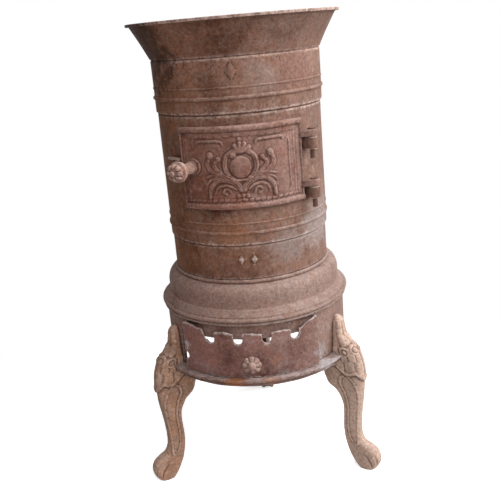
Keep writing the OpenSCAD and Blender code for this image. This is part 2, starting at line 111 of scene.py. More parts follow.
def value_noise(p, scale, seed):
    """Smooth noise from -1 to 1 at points p (n, 3), with features of about scale metres."""
    q = np.asarray(p, float) / scale
    cell = np.floor(q).astype(np.int64)
    f = q - cell
    f = f * f * (3 - 2 * f)
    total = 0
    for corner in np.ndindex(2, 2, 2):
        x, y, z = (cell[..., k] + corner[k] for k in range(3))
        n = x * HASH_PRIMES[0] ^ y * HASH_PRIMES[1] ^ z * HASH_PRIMES[2]
        n = (n ^ (seed * HASH_PRIMES[3])) & HASH_MASK
        n = (n * 1103515245 + 12345) & HASH_MASK
        n = (n ^ (n >> 13)) * 1274126177 & HASH_MASK
        total = total + np.where(corner, f, 1 - f).prod(-1) * (n / (HASH_MASK // 2) - 1)
    return total


def placed(name, data):
    """A new object in the scene for a mesh, a lamp or a camera."""
    obj = bpy.data.objects.new(name, data)
    bpy.context.scene.collection.objects.link(obj)
    return obj


def edited(mesh, edit):
    """Runs edit(bmesh) on a mesh."""
    work = bmesh.new()
    work.from_mesh(mesh)
    edit(work)
    work.to_mesh(mesh)
    work.free()


def new_object(name, verts, faces):
    """A mesh object from vertices and closed faces, with its normals turned outward."""
    mesh = bpy.data.meshes.new(name)
    mesh.from_pydata(np.asarray(verts).tolist(), [], [list(f) for f in faces])
    edited(mesh, lambda work: bmesh.ops.recalc_face_normals(work, faces=work.faces))
    return placed(name, mesh)


def grid_faces(rows, cols, wrap_rows=False, wrap_cols=False):
    """Quads over a rows x cols grid of vertices, as an (n, 4) array."""
    i = np.arange(rows if wrap_rows else rows - 1)
    j = np.arange(cols if wrap_cols else cols - 1)
    i, j = np.meshgrid(i, j, indexing="ij")
    i1, j1 = (i + 1) % rows, (j + 1) % cols
    return np.stack((i * cols + j, i * cols + j1, i1 * cols + j1, i1 * cols + j), axis=-1).reshape(-1, 4)


def read_all(items, key, width, kind=float):
    """One property of all vertices or edges, as an (n, width) array."""
    values = np.empty(len(items) * width, dtype=kind)
    items.foreach_get(key, values)
    return values.reshape(-1, width)


def coords(mesh):
    return read_all(mesh.vertices, "co", 3)


def set_coords(mesh, co):
    mesh.vertices.foreach_set("co", co.ravel())
    mesh.update()


def normals(mesh):
    return read_all(mesh.vertices, "normal", 3)


def push(obj, amount):
    """Moves each vertex along its normal by amount(places), in millimetres."""
    co = coords(obj.data)
    set_coords(obj.data, co + normals(obj.data) * (amount(co) * MM)[:, None])


def edge_pairs(mesh):
    return read_all(mesh.edges, "vertices", 2, np.int64)


def smoothed(co, edges, rounds):
    """Vertex positions after Laplacian smoothing along edges, given as pairs."""
    n = len(co)
    a, b = edges.T
    count = np.maximum(np.bincount(edges.ravel(), minlength=n), 1)[:, None]
    for _ in range(rounds):
        total = [np.bincount(a, co[b, k], n) + np.bincount(b, co[a, k], n) for k in range(3)]
        co = 0.5 * co + 0.5 * np.stack(total, 1) / count
    return co


def mark(mesh, depth, rounds, soot):
    """Stores on each vertex how proud it stands (wear), how sunk it lies (for dirt and painted shade in
    hollows) and whether it is nearer the stove's axis than soot, all 0 to 1. Vertices on coarse edges get no
    wear and no hollow darkening."""
    coarse = 7 * MM
    co, edges = coords(mesh), edge_pairs(mesh)
    relief = ((co - smoothed(co, edges, rounds)) * normals(mesh)).sum(1)
    length = np.linalg.norm(co[edges[:, 0]] - co[edges[:, 1]], axis=1)
    longest = np.zeros(len(co))
    np.maximum.at(longest, edges.ravel(), np.repeat(length, 2))
    relief[longest > coarse] = 0
    sooty = (np.hypot(co[:, 0], co[:, 1]) < soot).astype(float)
    for name, values in (("wear", relief / depth), ("grime_and_shade", -relief / depth), ("soot", sooty)):
        layer = mesh.attributes.new(name, "FLOAT", "POINT")
        layer.data.foreach_set("value", np.clip(values, 0, 1))


def finish_piece(obj, body, slot, node, soot=0, depth=0.25 * MM, rounds=6, angle=38, material=None):
    """Marks, shades and paints a piece that stands for a CAD node. Edges sharper than angle stay sharp."""
    mesh = obj.data
    mark(mesh, depth, rounds, soot)
    mesh.polygons.foreach_set("use_smooth", [True] * len(mesh.polygons))
    mesh.set_sharp_from_angle(angle=math.radians(angle))
    mesh.materials.clear()
    mesh.materials.append(MATERIAL[material or slot])
    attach(obj, body)
    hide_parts(node)


def apply_modifiers(obj):
    """The object with its modifiers made part of its mesh."""
    deps = bpy.context.evaluated_depsgraph_get()
    old, obj.data = obj.data, bpy.data.meshes.new_from_object(obj.evaluated_get(deps))
    obj.modifiers.clear()
    bpy.data.meshes.remove(old)
    return obj


def boolean(obj, helper, operation):
    mod = obj.modifiers.new("cut", "BOOLEAN")
    mod.solver = "MANIFOLD"
    mod.operation = operation
    mod.object = helper
    apply_modifiers(obj)
    mesh = helper.data
    bpy.data.objects.remove(helper)
    bpy.data.meshes.remove(mesh)


def join(obj, helper):
    """Adds a helper object's solid to a piece, and removes the helper."""
    boolean(obj, helper, "UNION")


def cut(obj, helper):
    """Takes a helper object's solid out of a piece, and removes the helper."""
    boolean(obj, helper, "DIFFERENCE")


def prism(name, outline, low, high, place=None):
    """A closed prism of an outline [(x, y), ...] between two heights, placed by a matrix."""
    n = len(outline)
    verts = [(x, y, low) for x, y in outline] + [(x, y, high) for x, y in outline]
    faces = [tuple(range(n))[::-1], tuple(range(n, 2 * n))]
    faces += [(i, (i + 1) % n, n + (i + 1) % n, n + i) for i in range(n)]
    obj = new_object(name, verts, faces)
    if place is not None:
        obj.data.transform(place)
    bpy.context.view_layer.update()
    return obj


def offsets(r, z, *places):
    """Outline points at places given in millimetres from a point."""
    return [(r + x * MM, z + y * MM) for x, y in places]


def arc(x, y, radius, angles):
    """Points round a centre at angles in degrees."""
    return [(x + radius * math.cos(a), y + radius * math.sin(a)) for a in np.radians(angles)]


def disc_outline(r, sides, x=0):
    return arc(x, 0, r, np.linspace(0, 360, sides, endpoint=False))


def facing(az, r=0, z=0):
    """Matrix whose local +Z points outward at azimuth az, local +Y up, at radius r and height z."""
    s, c = out(az)
    outward = Vector((s, c, 0))
    up = Vector((0, 0, 1))
    side = up.cross(outward)
    m = Matrix((side, up, outward)).transposed().to_4x4()
    m.translation = outward * r + Vector((0, 0, z))
    return m


# ---- castings turned about the stove's axis ----

def rounded(points, radius, steps=3):
    """A closed outline with its corners rounded by short arcs."""
    pts = [np.array(p, float) for p in points]
    result = []
    for k, p in enumerate(pts):
        a, b = pts[k - 1] - p, pts[(k + 1) % len(pts)] - p
        la, lb = np.linalg.norm(a), np.linalg.norm(b)
        trim = min(radius, 0.45 * la, 0.45 * lb)
        a, b = p + a / la * trim, p + b / lb * trim
        for i in range(steps + 1):
            t = i / steps
            result.append((1 - t) ** 2 * a + 2 * t * (1 - t) * p + t * t * b)
    return result


def divided(points, longest):
    """A closed outline with no edge longer than longest."""
    result = []
    for k, p in enumerate(points):
        q = points[(k + 1) % len(points)]
        n = max(1, math.ceil(np.linalg.norm(q - p) / longest))
        result += [p + (q - p) * i / n for i in range(n)]
    return result


def lathe(name, outline, seed, wobble=0.35 * MM, corner=0.8 * MM):
    """A closed casting turned from an outline of (r, z), slightly uneven as cast iron is."""
    longest, cols = 3.2 * MM, 216
    line = np.array(divided(rounded(outline, corner), longest))
    az = np.linspace(0, 360, cols, endpoint=False)
    p = ring_xyz(line[:, :1], az, line[:, 1:]).reshape(-1, 3)
    uneven = wobble * (value_noise(p, 60 * MM, seed) + 0.35 * value_noise(p, 14 * MM, seed + 1))
    p += ring_xyz(1, np.tile(az, len(line)), 0) * uneven[:, None]
    return new_object(name, p, grid_faces(len(line), cols, True, True))


def bell_curve(r_side, r_neck, z0, z1):
    """A quarter of an ellipse, from a wall's side at z0 to its neck at z1."""
    a = np.radians(np.linspace(0, 90, 10))
    return [(r_neck + (r_side - r_neck) * math.cos(t), z0 + (z1 - z0) * math.sin(t)) for t in a]


def barrel(name, r, z0, z1, beads, seed):
    """A barrel with a bevelled foot, a rebate at its top and beads, each (inset of its centre from the
    wall, height above the foot, radius) in millimetres."""
    bevel = 1.3 * MM
    line = [(r - WALL, z0), (r - bevel, z0), (r, z0 + bevel)]
    for inset, height, radius in beads:
        span = math.degrees(math.acos(inset / radius))
        line += arc(r - inset * MM, z0 + height * MM, radius * MM, np.linspace(-span, span, 7))
    line += offsets(r, z1, (0, -2.4), (-1, -1.4), (-1, 0)) + [(r - WALL, z1)]
    return lathe(name, line, seed)


# ---- materials ----

class Nodes:
    """Short calls for building a shader node tree."""

    def __init__(self, tree):
        self.tree = tree

    def add(self, kind, inputs=(), **settings):
        node = self.tree.nodes.new(kind)
        for key, value in settings.items():
            setattr(node, key, value)
        for key, value in dict(inputs).items():
            self.feed(node.inputs[key], value)
        return node

    def feed(self, socket, value):
        """Links an output to a socket, or sets the socket to a constant."""
        if isinstance(value, bpy.types.NodeSocket):
            self.tree.links.new(value, socket)
        else:
            socket.default_value = value

    def noise(self, where, scale, detail, rough):
        return self.add("ShaderNodeTexNoise", {"Vector": where, "Scale": scale, "Detail": detail,
                                               "Roughness": rough}).outputs["Fac"]

    def voronoi(self, where, scale):
        return self.add("ShaderNodeTexVoronoi", {"Vector": where, "Scale": scale, "Randomness": 1.0}).outputs

    def vector(self, operation, a, b=(0, 0, 0), output="Vector"):
        return self.add("ShaderNodeVectorMath", {0: a, 1: b}, operation=operation).outputs[output]

    def ramp(self, value, lo, hi, low=0.0, high=1.0, kind="SMOOTHSTEP"):
        return self.add("ShaderNodeMapRange", {"Value": value, "From Min": lo, "From Max": hi, "To Min": low,
                                               "To Max": high}, interpolation_type=kind).outputs["Result"]

    def math(self, operation, a, b):
        return self.add("ShaderNodeMath", {0: a, 1: b}, operation=operation).outputs[0]

    def times(self, a, b):
        return self.math("MULTIPLY", a, b)

    def plus(self, a, b):
        return self.math("ADD", a, b)

    def about(self, value, noise, swing):
        """A value moved up and down by a noise whose middle is 0.5."""
        return self.plus(value, self.times(self.math("SUBTRACT", noise, 0.5), swing))

    def mix(self, factor, a, b, blend="MIX"):
        node = self.add("ShaderNodeMix", {"Factor": factor}, data_type="RGBA", blend_type=blend)
        for socket, value in ((node.inputs[6], a), (node.inputs[7], b)):
            self.feed(socket, (*value, 1) if isinstance(value, tuple) else value)
        return node.outputs[2]

    def blend(self, factor, a, b):
        return self.add("ShaderNodeMixShader", {0: factor, 1: a.outputs[0], 2: b.outputs[0]})

    def attribute(self, name):
        return self.add("ShaderNodeAttribute", attribute_name=name).outputs["Fac"]


class Iron(Nodes):
    """The places and noises that the parts of a rust material share."""

    def __init__(self, tree, shift):
        super().__init__(tree)
        self.local = self.add("ShaderNodeTexCoord").outputs["Object"]
        self.place = self.vector("ADD", self.local, (shift,) * 3)
        self.blotch = self.noise(self.place, 48, 6, 0.65)
        self.grain = self.noise(self.place, 210, 4, 0.7)
        self.speck = self.noise(self.place, 560, 3, 0.6)


def rust_colour(n, dark, mid, warm):
    """Patches of brown with rust blooms and greyer flecks, and a pale film on the stove's +X side, where the
    key lamp falls, that is partly dust and partly painted sheen.
    """
    fleck = n.noise(n.vector("ADD", n.place, (3.7,) * 3), 120, 5, 0.7)
    streak = n.noise(n.vector("MULTIPLY", n.place, (1, 1, 0.16)), 95, 4, 0.6)
    grey = 0.55 * mid[0] + 0.45 * mid[2]
    ashen_and_sheen = (0.47 * mid[0] + 0.62 * grey, 0.46 * mid[1] + 0.54 * grey, 0.45 * mid[2] + 0.50 * grey)
    colour = n.mix(n.ramp(n.noise(n.place, 14, 5, 0.6), 0.35, 0.59), dark, mid)
    colour = n.mix(n.times(n.ramp(n.blotch, 0.50, 0.66), 0.7), colour, warm)
    colour = n.mix(n.times(n.ramp(fleck, 0.54, 0.68), 0.5), colour, warm)
    colour = n.mix(n.times(n.ramp(fleck, 0.46, 0.33), 0.6), colour, ashen_and_sheen)
    # Painted sheen as well as dust: the +X side, which faces the key lamp, is paled towards the ashen grey
    side = n.about(n.add("ShaderNodeSeparateXYZ", {0: n.local}).outputs[0], n.blotch, 0.55)
    colour = n.mix(n.times(n.ramp(side, -0.08, 0.13), 0.62), colour, ashen_and_sheen)
    return n.mix(n.times(n.ramp(streak, 0.56, 0.7), 0.3), colour, dark)


def paleness(n, dust, worn):
    """How much of the pale colour shows, as dust on ledges, as a patchy film and on worn edges."""
    normal = n.add("ShaderNodeNewGeometry").outputs["Normal"]
    facing_up = n.add("ShaderNodeSeparateXYZ", {0: normal}).outputs[2]
    ledge = n.times(n.ramp(facing_up, 0.15, 0.8), n.ramp(n.blotch, 0.3, 0.62))
    wear = n.times(n.ramp(n.attribute("wear"), 0.12, 0.75), n.ramp(n.grain, 0.28, 0.6))
    film = n.times(n.ramp(n.noise(n.place, 26, 6, 0.7), 0.5, 0.72), 0.4)
    amount = n.math("MAXIMUM", n.times(ledge, dust), n.times(wear, worn))
    return n.math("MAXIMUM", amount, n.times(film, dust))


def specked(n, colour):
    """Sparse white droppings a millimetre or two across."""
    cells = n.voronoi(n.place, 30)
    chance = n.add("ShaderNodeSeparateColor", {0: cells["Color"]}).outputs[0]
    dot = n.times(n.ramp(cells["Distance"], 0.055, 0.035), n.ramp(chance, 0.80, 0.82))
    return n.mix(n.times(dot, 0.8), colour, (0.72, 0.70, 0.68))


def add_stains_and_painted_light(n, colour, stains_and_painted_light):
    """Soft-edged patches of colour from rows of azimuth, radius, height, size, colour and strength: stains,
    painted shades and painted highlights.
    """
    ragged = n.noise(n.place, 70, 5, 0.7)
    for az, r, z, size, patch_colour, strength in stains_and_painted_light:
        gap = n.vector("DISTANCE", n.local, tuple(ring_xyz(r, az, z)), "Value")
        gap = n.about(gap, ragged, 1.6 * size * MM)
        colour = n.mix(n.times(n.ramp(gap, size * MM, 0.45 * size * MM), strength), colour, patch_colour)
    return colour


def mottled(n, colour):
    """The colour made lighter and darker grain by grain."""
    light = n.ramp(n.plus(n.times(n.grain, 0.6), n.times(n.speck, 0.4)), 0.33, 0.67, 0.58, 1.42, "LINEAR")
    grey = n.add("ShaderNodeCombineColor", {0: light, 1: light, 2: light}).outputs[0]
    return n.mix(1.0, colour, grey, "MULTIPLY")


def rust_surface(n, shader):
    """Uneven roughness and a pitted bump."""
    n.feed(shader.inputs["Roughness"], n.ramp(n.blotch, 0.3, 0.7, 0.55, 0.8, "LINEAR"))
    shader.inputs["Specular IOR Level"].default_value = 0.06
    height = n.plus(n.times(n.grain, 0.8), n.times(n.speck, 0.4))
    height = n.plus(height, n.times(n.ramp(n.voronoi(n.place, 330)["Distance"], 0.0, 0.45), 0.3))
    height = n.plus(height, n.times(n.blotch, 0.6))
    pitted = n.add("ShaderNodeBump", {"Height": height, "Strength": 0.6, "Distance": 0.0013})
    n.feed(shader.inputs["Normal"], pitted.outputs[0])


def rust(slot, dark, mid, warm, pale, dust=0.5, worn=0.5, dirt_and_shade=0.6, shift=0.0, specks=False):
    """Rusty cast iron with pale worn edges, hollows darkened by dirt and painted shade, dust on ledges, and
    placed stains, painted shades and painted highlights.
    """
    material = bpy.data.materials.new("rust_" + slot)
    material.use_nodes = True
    shader = material.node_tree.nodes["Principled BSDF"]
    n = Iron(material.node_tree, shift)
    colour = n.mix(paleness(n, dust, worn), rust_colour(n, dark, mid, warm), pale)
    colour = add_stains_and_painted_light(n, colour, STAINS_AND_PAINTED_LIGHT.get(slot, ()))
    if specks:
        colour = specked(n, colour)
    # Hollows darkened towards a deep brown: dirt and painted shade in grooves, under beads and beside raised
    # ornament
    grime_and_shade = n.times(n.ramp(n.attribute("grime_and_shade"), 0.1, 0.8), dirt_and_shade)
    colour = n.mix(grime_and_shade, colour, tuple(0.28 * c for c in dark))
    colour = n.mix(n.times(n.attribute("soot"), 0.8), colour, SOOT)
    n.feed(shader.inputs["Base Color"], mottled(n, colour))
    rust_surface(n, shader)
    MATERIAL[slot] = material


# The second colour is pale chipped iron, also used as a painted highlight on the notch rims
BLUE_GREY, CHIPPED_AND_HIGHLIGHT, ORANGE = (0.30, 0.265, 0.255), (0.62, 0.56, 0.56), (0.33, 0.125, 0.05)
# The first colour is a painted shade brown for the stove's unlit left side
SHADE_SIDE_BROWN, SOOT = (0.150, 0.056, 0.022), (0.022, 0.016, 0.014)

# Stains, painted shades and painted highlights of each slot: azimuth, radius, height, size in millimetres,
# colour, strength
STAINS_AND_PAINTED_LIGHT = {
    "barrel": [
        # Painted shade: the stove's left (-X) side, away from the key lamp, darkened on each barrel
        (-74, DOOR_R, Z_LOWER + 30 * MM, 96, SHADE_SIDE_BROWN, 0.6),
        (-74, DOOR_R, Z_DOOR + 70 * MM, 96, SHADE_SIDE_BROWN, 0.6),
        (-74, DOOR_R, Z_UPPER + 25 * MM, 96, SHADE_SIDE_BROWN, 0.6),
        # Painted shadow: the left of the flared collar made nearly black
        (-76, FLARE_R, Z_FLARE + 40 * MM, 120, (0.026, 0.009, 0.004), 0.85),
        (62, DOOR_R, Z_DOOR + 12 * MM, 56, BLUE_GREY, 0.5),
        (30, LOWER_R, Z_DOOR - 12 * MM, 40, BLUE_GREY, 0.3),
        (18, UPPER_R, Z_UPPER + 50 * MM, 34, BLUE_GREY, 0.16),
        (42, UPPER_R, Z_UPPER + 58 * MM, 46, (0.17, 0.085, 0.068), 0.4),
        (-8, DOOR_R, Z_DOOR + 22 * MM, 34, ORANGE, 0.25)],
    # Painted shade: the key-lit right of the skirt's cornice dimmed
    "skirt": [(66, BASE_R, Z_SKIRT + 12 * MM, 70, (0.21, 0.128, 0.105), 0.35)],
    "base": [
        (41, BASE_R, Z_BASE + 28 * MM, 24, BLUE_GREY, 0.6),
        # Pale patch on the shelf's top at the right: dust and a painted highlight of light from above
        (44, SHELF_R, Z_BASE + 14 * MM, 28, (0.40, 0.36, 0.36), 0.75),
        (-12, SHELF_R, Z_BASE + 7 * MM, 22, ORANGE, 0.7),
        (8, SHELF_R, Z_BASE + 7 * MM, 16, ORANGE, 0.4)],
    "door": [
        (-18, DOOR_R, Z_DOOR + 62 * MM, 40, (0.20, 0.075, 0.05), 0.4),
        (-2, DOOR_R, Z_DOOR + 66 * MM, 26, (0.25, 0.085, 0.05), 0.4)],
    "ash_door": [
        (-14, BASE_R, Z_BASE + 52 * MM, 34, (0.070, 0.026, 0.020), 0.35),
        (24, BASE_R, Z_BASE + 62 * MM, 26, (0.085, 0.032, 0.025), 0.3),
        (-44, BASE_R, Z_SKIRT - 42 * MM, 15, CHIPPED_AND_HIGHLIGHT, 0.6),
        # Pale rims at the draught notches: painted highlight on their upward edges as well as chipped wear
        *((az, BASE_R + 3 * MM, Z_SKIRT - 27 * MM, 9, CHIPPED_AND_HIGHLIGHT, 0.55) for az in NOTCH_AZ),
        (38, BASE_R, Z_BASE + 36 * MM, 14, BLUE_GREY, 0.6),
        (-27, BASE_R, Z_BASE + 18 * MM, 16, BLUE_GREY, 0.6),
        (-7, BASE_R, Z_BASE + 17 * MM, 10, BLUE_GREY, 0.6),
        (16, BASE_R, Z_BASE + 17 * MM, 14, BLUE_GREY, 0.6),
        (12, BASE_R, Z_BASE + 42 * MM, 18, ORANGE, 0.2)],
}

MATERIAL = {}
rust("barrel", (0.080, 0.029, 0.015), (0.200, 0.095, 0.062), (0.250, 0.088, 0.040), (0.48, 0.36, 0.315),
     dust=0.36, worn=0.88, specks=True)
rust("skirt", (0.16, 0.080, 0.057), (0.26, 0.158, 0.127), (0.27, 0.13, 0.085), (0.37, 0.29, 0.262),
     dust=0.42, worn=0.6, dirt_and_shade=0.8, shift=0.7, specks=True)
rust("base", (0.105, 0.049, 0.035), (0.235, 0.130, 0.102), (0.27, 0.115, 0.065), (0.42, 0.35, 0.34),
     dust=0.6, worn=0.4, shift=1.9)
rust("top", (0.03, 0.018, 0.014), (0.09, 0.045, 0.032), (0.16, 0.062, 0.034), (0.25, 0.18, 0.155), shift=2.6)
rust("door", (0.145, 0.058, 0.040), (0.250, 0.124, 0.096), (0.29, 0.105, 0.062), (0.42, 0.30, 0.26),
     dust=0.45, worn=0.3, dirt_and_shade=0.62, shift=3.3)
rust("ash_door", (0.105, 0.044, 0.034), (0.235, 0.113, 0.094), (0.27, 0.100, 0.060), (0.52, 0.45, 0.43),
     worn=0.7, shift=4.1)
rust("leg", (0.31, 0.176, 0.118), (0.46, 0.285, 0.205), (0.45, 0.225, 0.135), (0.60, 0.47, 0.42),
     dust=0.35, worn=0.3, dirt_and_shade=0.75, shift=5.2)
rust("knob", (0.21, 0.108, 0.082), (0.37, 0.235, 0.20), (0.34, 0.165, 0.11), (0.52, 0.40, 0.36),
     dust=0.45, worn=0.45, dirt_and_shade=0.9, shift=6.4)
rust("hardware", (0.05, 0.022, 0.015), (0.14, 0.062, 0.042), (0.26, 0.09, 0.044), (0.30, 0.19, 0.155),
     dust=0.3, worn=0.4, shift=7.7)
rust("flue", (0.045, 0.024, 0.018), (0.13, 0.068, 0.049), (0.2, 0.082, 0.046), (0.30, 0.21, 0.18), shift=8.8)

for row in frame["record"]["subparts"]:
    node_mesh = frame["nodes"][row["node"]].data
    node_mesh.materials.clear()
    node_mesh.materials.append(MATERIAL[row["material_slot"]])


# ---- castings of the body ----

def swept(name, profile, az0, az1):
    """A closed profile of (r, z) swept between two azimuths."""
    az = np.linspace(az0, az1, max(2, round((az1 - az0) / 1.5)))
    rows = [ring_xyz(r, az, z) for r, z in profile]
    verts = np.stack(rows, axis=1).reshape(-1, 3)
    n, m = len(az), len(profile)
    faces = grid_faces(n, m, wrap_cols=True).tolist()
    faces += [list(range(m)), [n * m - 1 - k for k in range(m)]]
    return new_object(name, verts, faces)


def wedge(name, az0, az1, r0, r1, z0, z1):
    """A curved block between two azimuths, radii and heights."""
    return swept(name, [(r0, z0), (r1, z0), (r1, z1), (r0, z1)], az0, az1)


def lozenge(az, z, r, half_w, half_h, height):
    """A low four-sided relief on a barrel's face, from three rings of four points."""
    corners = ((half_w, 0), (0, half_h), (-half_w, 0), (0, -half_h))
    rings = ((1, -2 * MM), (1, 0.4 * height), (0.45, height))
    verts = [(share * x, share * y, level) for share, level in rings for x, y in corners]
    faces = [[3, 2, 1, 0], [8, 9, 10, 11]] + grid_faces(3, 4, wrap_cols=True).tolist()
    obj = new_object("lozenge", verts, faces)
    obj.data.transform(facing(az, r, z))
    return obj


def make_base_ring():
    inner_r, ledge_r = BASE_R - WALL, LOWER_R + 6.5 * MM
    outline = [(ledge_r, Z_BASE), (BASE_R, Z_BASE), (BASE_R, Z_SKIRT), (inner_r, Z_SKIRT),
               (inner_r, Z_BASE + 5 * MM), (ledge_r, Z_BASE + 5 * MM)]
    obj = lathe("base_ring_cast", outline, seed=11)
    join(obj, base_shelf())
    cut(obj, wedge("ash_opening", *ASH_AZ, inner_r - 8 * MM, BASE_R + 2.5 * MM,
                   SHELF_TOP + 4 * MM, Z_SKIRT - 24.4 * MM))
    finish_piece(obj, "stove", "base", "base_ring", soot=inner_r, depth=0.5 * MM)


def base_shelf():
    """Shelf between the front legs with a rim under it."""
    foot_r, lip_r, root_r, rim_z = BASE_R + 13 * MM, SHELF_R - 0.4 * MM, BASE_R - 4 * MM, Z_BASE + FOOT_RIM
    profile = [(foot_r - WALL, Z_BASE), (foot_r, Z_BASE), (foot_r, rim_z), (lip_r, rim_z),
               (lip_r, SHELF_TOP), (root_r, SHELF_TOP), (root_r, rim_z), (foot_r - WALL, rim_z)]
    obj = swept("base_shelf", divided(rounded(profile, 1.4 * MM), 3 * MM), -SHELF_AZ, SHELF_AZ)
    push(obj, lambda co: 0.3 * value_noise(co, 11 * MM, 13) + 0.18 * value_noise(co, 4 * MM, 14) - 0.36)
    return obj


def make_bell_skirt():
    bell_r, neck_r, inner_r = LOWER_R + 17 * MM, LOWER_R + 0.5 * MM, LOWER_R - WALL
    foot_z, bell_z0, bell_z1 = Z_SKIRT + 23 * MM, Z_SKIRT + 40 * MM, Z_LOWER - 6 * MM
    outline = [(BASE_R - WALL, Z_SKIRT)] + offsets(BASE_R, Z_SKIRT, (5, 0), (5.2, 3), (3.2, 4.6))
    outline += arc(BASE_R + 4.3 * MM, Z_SKIRT + 8 * MM, 2.9 * MM, range(-60, 91, 30))
    outline += offsets(BASE_R, Z_SKIRT, (1.9, 11.2), (1.9, 12.8))
    outline += offsets(bell_r, foot_z, (3, -1), (0.6, 0), (0, 2.2))
    outline += bell_curve(bell_r, neck_r + 0.4 * MM, bell_z0, bell_z1 - MM)
    outline += arc(neck_r - 0.5 * MM, Z_LOWER - 3.2 * MM, 3 * MM, range(-60, 61, 30))
    outline += [(neck_r, Z_LOWER), (inner_r - 2 * MM, Z_LOWER)]
    outline += bell_curve(bell_r - WALL, inner_r, bell_z0 - 2 * MM, bell_z1 - WALL)[::-1]
    outline += [(bell_r - WALL, foot_z), (BASE_R - WALL, Z_SKIRT + 12 * MM)]
    obj = lathe("bell_skirt_cast", outline, seed=23, corner=0.5 * MM)
    finish_piece(obj, "stove", "skirt", "bell_skirt", soot=LOWER_R, depth=0.45 * MM)


def make_lower_barrel():
    obj = barrel("lower_barrel_cast", LOWER_R, Z_LOWER, Z_DOOR, [], seed=37)
    for az in (-4.2, 4.6):
        join(obj, lozenge(az, Z_LOWER + 34 * MM, LOWER_R, 6 * MM, 9 * MM, 3 * MM))
    finish_piece(obj, "stove", "barrel", "lower_barrel", soot=LOWER_R - SOOT_IN, depth=0.5 * MM)


HINGE_AZ, HINGE_R = 49, DOOR_R + 15 * MM
HINGE = Vector((*(HINGE_R * c for c in out(HINGE_AZ)), 0))
DOOR_AZ = (-40.5, 43.7)
DOOR_Z = tuple(corner.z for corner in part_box("fire_door"))
ARM_Z = (DOOR_Z[0] + 96 * MM, DOOR_Z[0] + 19 * MM)
KNOB_AZ, KNOB_Z = -30.4, DOOR_Z[0] + 67 * MM
LUG_H, LUG_R, PIN_R, ARM_H, ARM_R = 19 * MM, 8.5 * MM, 4 * MM, 11 * MM, 9 * MM


def block(name, size, place):
    """A bevelled block of a (width, height, depth) centred on a matrix."""
    w, h, d = (s / 2 for s in size)
    obj = prism(name, [(-w, -h), (w, -h), (w, h), (-w, h)], -d, d, place)
    return bevelled(obj, 1.2 * MM)


def bevelled(obj, width, segments=2, angle=40):
    mod = obj.modifiers.new("bevel", "BEVEL")
    mod.width = width
    mod.segments = segments
    mod.limit_method = "ANGLE"
    mod.angle_limit = math.radians(angle)
    return apply_modifiers(obj)


def upright(name, r, z0, z1, bevel=0):
    """A vertical cylinder on the hinge's line."""
    obj = prism(name, disc_outline(r, 40), z0, z1, Matrix.Translation(HINGE))
    return bevelled(obj, bevel) if bevel else obj


def make_door_barrel():
    obj = barrel("door_barrel_cast", DOOR_R, Z_DOOR, Z_UPPER, [(0.6, 20, 2.7), (0.8, 35, 1.8)], seed=41)
    lap, play = 10 * MM, 0.1 * MM
    lap_az = math.degrees(lap / DOOR_R)
    cut(obj, wedge("door_opening", DOOR_AZ[0] + lap_az, DOOR_AZ[1] - lap_az,
                   DOOR_R - 15 * MM, DOOR_R + 8 * MM, DOOR_Z[0] + lap, DOOR_Z[1] - lap))
    for top in ARM_Z:
        join(obj, block("lug_root", (15.5 * MM, LUG_H - 1.6 * MM, 18 * MM),
                        facing(HINGE_AZ, DOOR_R + 6 * MM, top - LUG_H / 2)))
        join(obj, upright("lug", LUG_R, top - LUG_H, top, bevel=1.6 * MM))
        cut(obj, upright("lug_bore", PIN_R + play, top - LUG_H - MM, top + MM))
    ledge = wedge("steady_ledge", DOOR_AZ[0] - 13.5, DOOR_AZ[0] - 1.5, DOOR_R - 2 * MM, DOOR_R + 8 * MM,
                  KNOB_Z + 8 * MM, KNOB_Z + 12 * MM)
    join(obj, bevelled(ledge, 1.1 * MM, angle=60))
    finish_piece(obj, "stove", "barrel", "door_barrel", soot=DOOR_R - SOOT_IN, depth=0.38 * MM)


def flue_pad(pad_y):
    """The flat seat of the flue collar at the back, up to pad_y from the axis and hollowed to the barrel."""
    pad_in, high = UPPER_R - 45 * MM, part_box("flue_collar")[1]
    pad = block("flue_pad", (2 * high.x, 2 * (high.z - FLUE_Z), pad_y - pad_in),
                facing(180, (pad_y + pad_in) / 2, FLUE_Z))
    cut(pad, prism("core", disc_outline(UPPER_R - 2 * MM, 144), Z_UPPER - MM, Z_FLARE + MM))
    return pad


def make_upper_barrel():
    pad_y, hole_r, bolt_r, bolt_x = UPPER_R + 5.5 * MM, 33 * MM, 4.1 * MM, 48.5 * MM
    obj = barrel("upper_barrel_cast", UPPER_R, Z_UPPER, Z_FLARE, [(0.4, 23, 2.9), (0.8, 38, 1.8)], seed=53)
    join(obj, lozenge(-0.5, Z_UPPER + 61 * MM, UPPER_R, 8 * MM, 14 * MM, 3.4 * MM))
    join(obj, flue_pad(pad_y))
    cut(obj, prism("flue_hole", disc_outline(hole_r, 72), 0, 60 * MM, facing(180, UPPER_R - 40 * MM, FLUE_Z)))
    for x in (-bolt_x, bolt_x):
        seat = facing(180, pad_y - 14 * MM, FLUE_Z)
        cut(obj, prism("bolt_bore", disc_outline(bolt_r, 24, x), 0, 20 * MM, seat))
    finish_piece(obj, "stove", "barrel", "upper_barrel", soot=UPPER_R - SOOT_IN, depth=0.38 * MM)


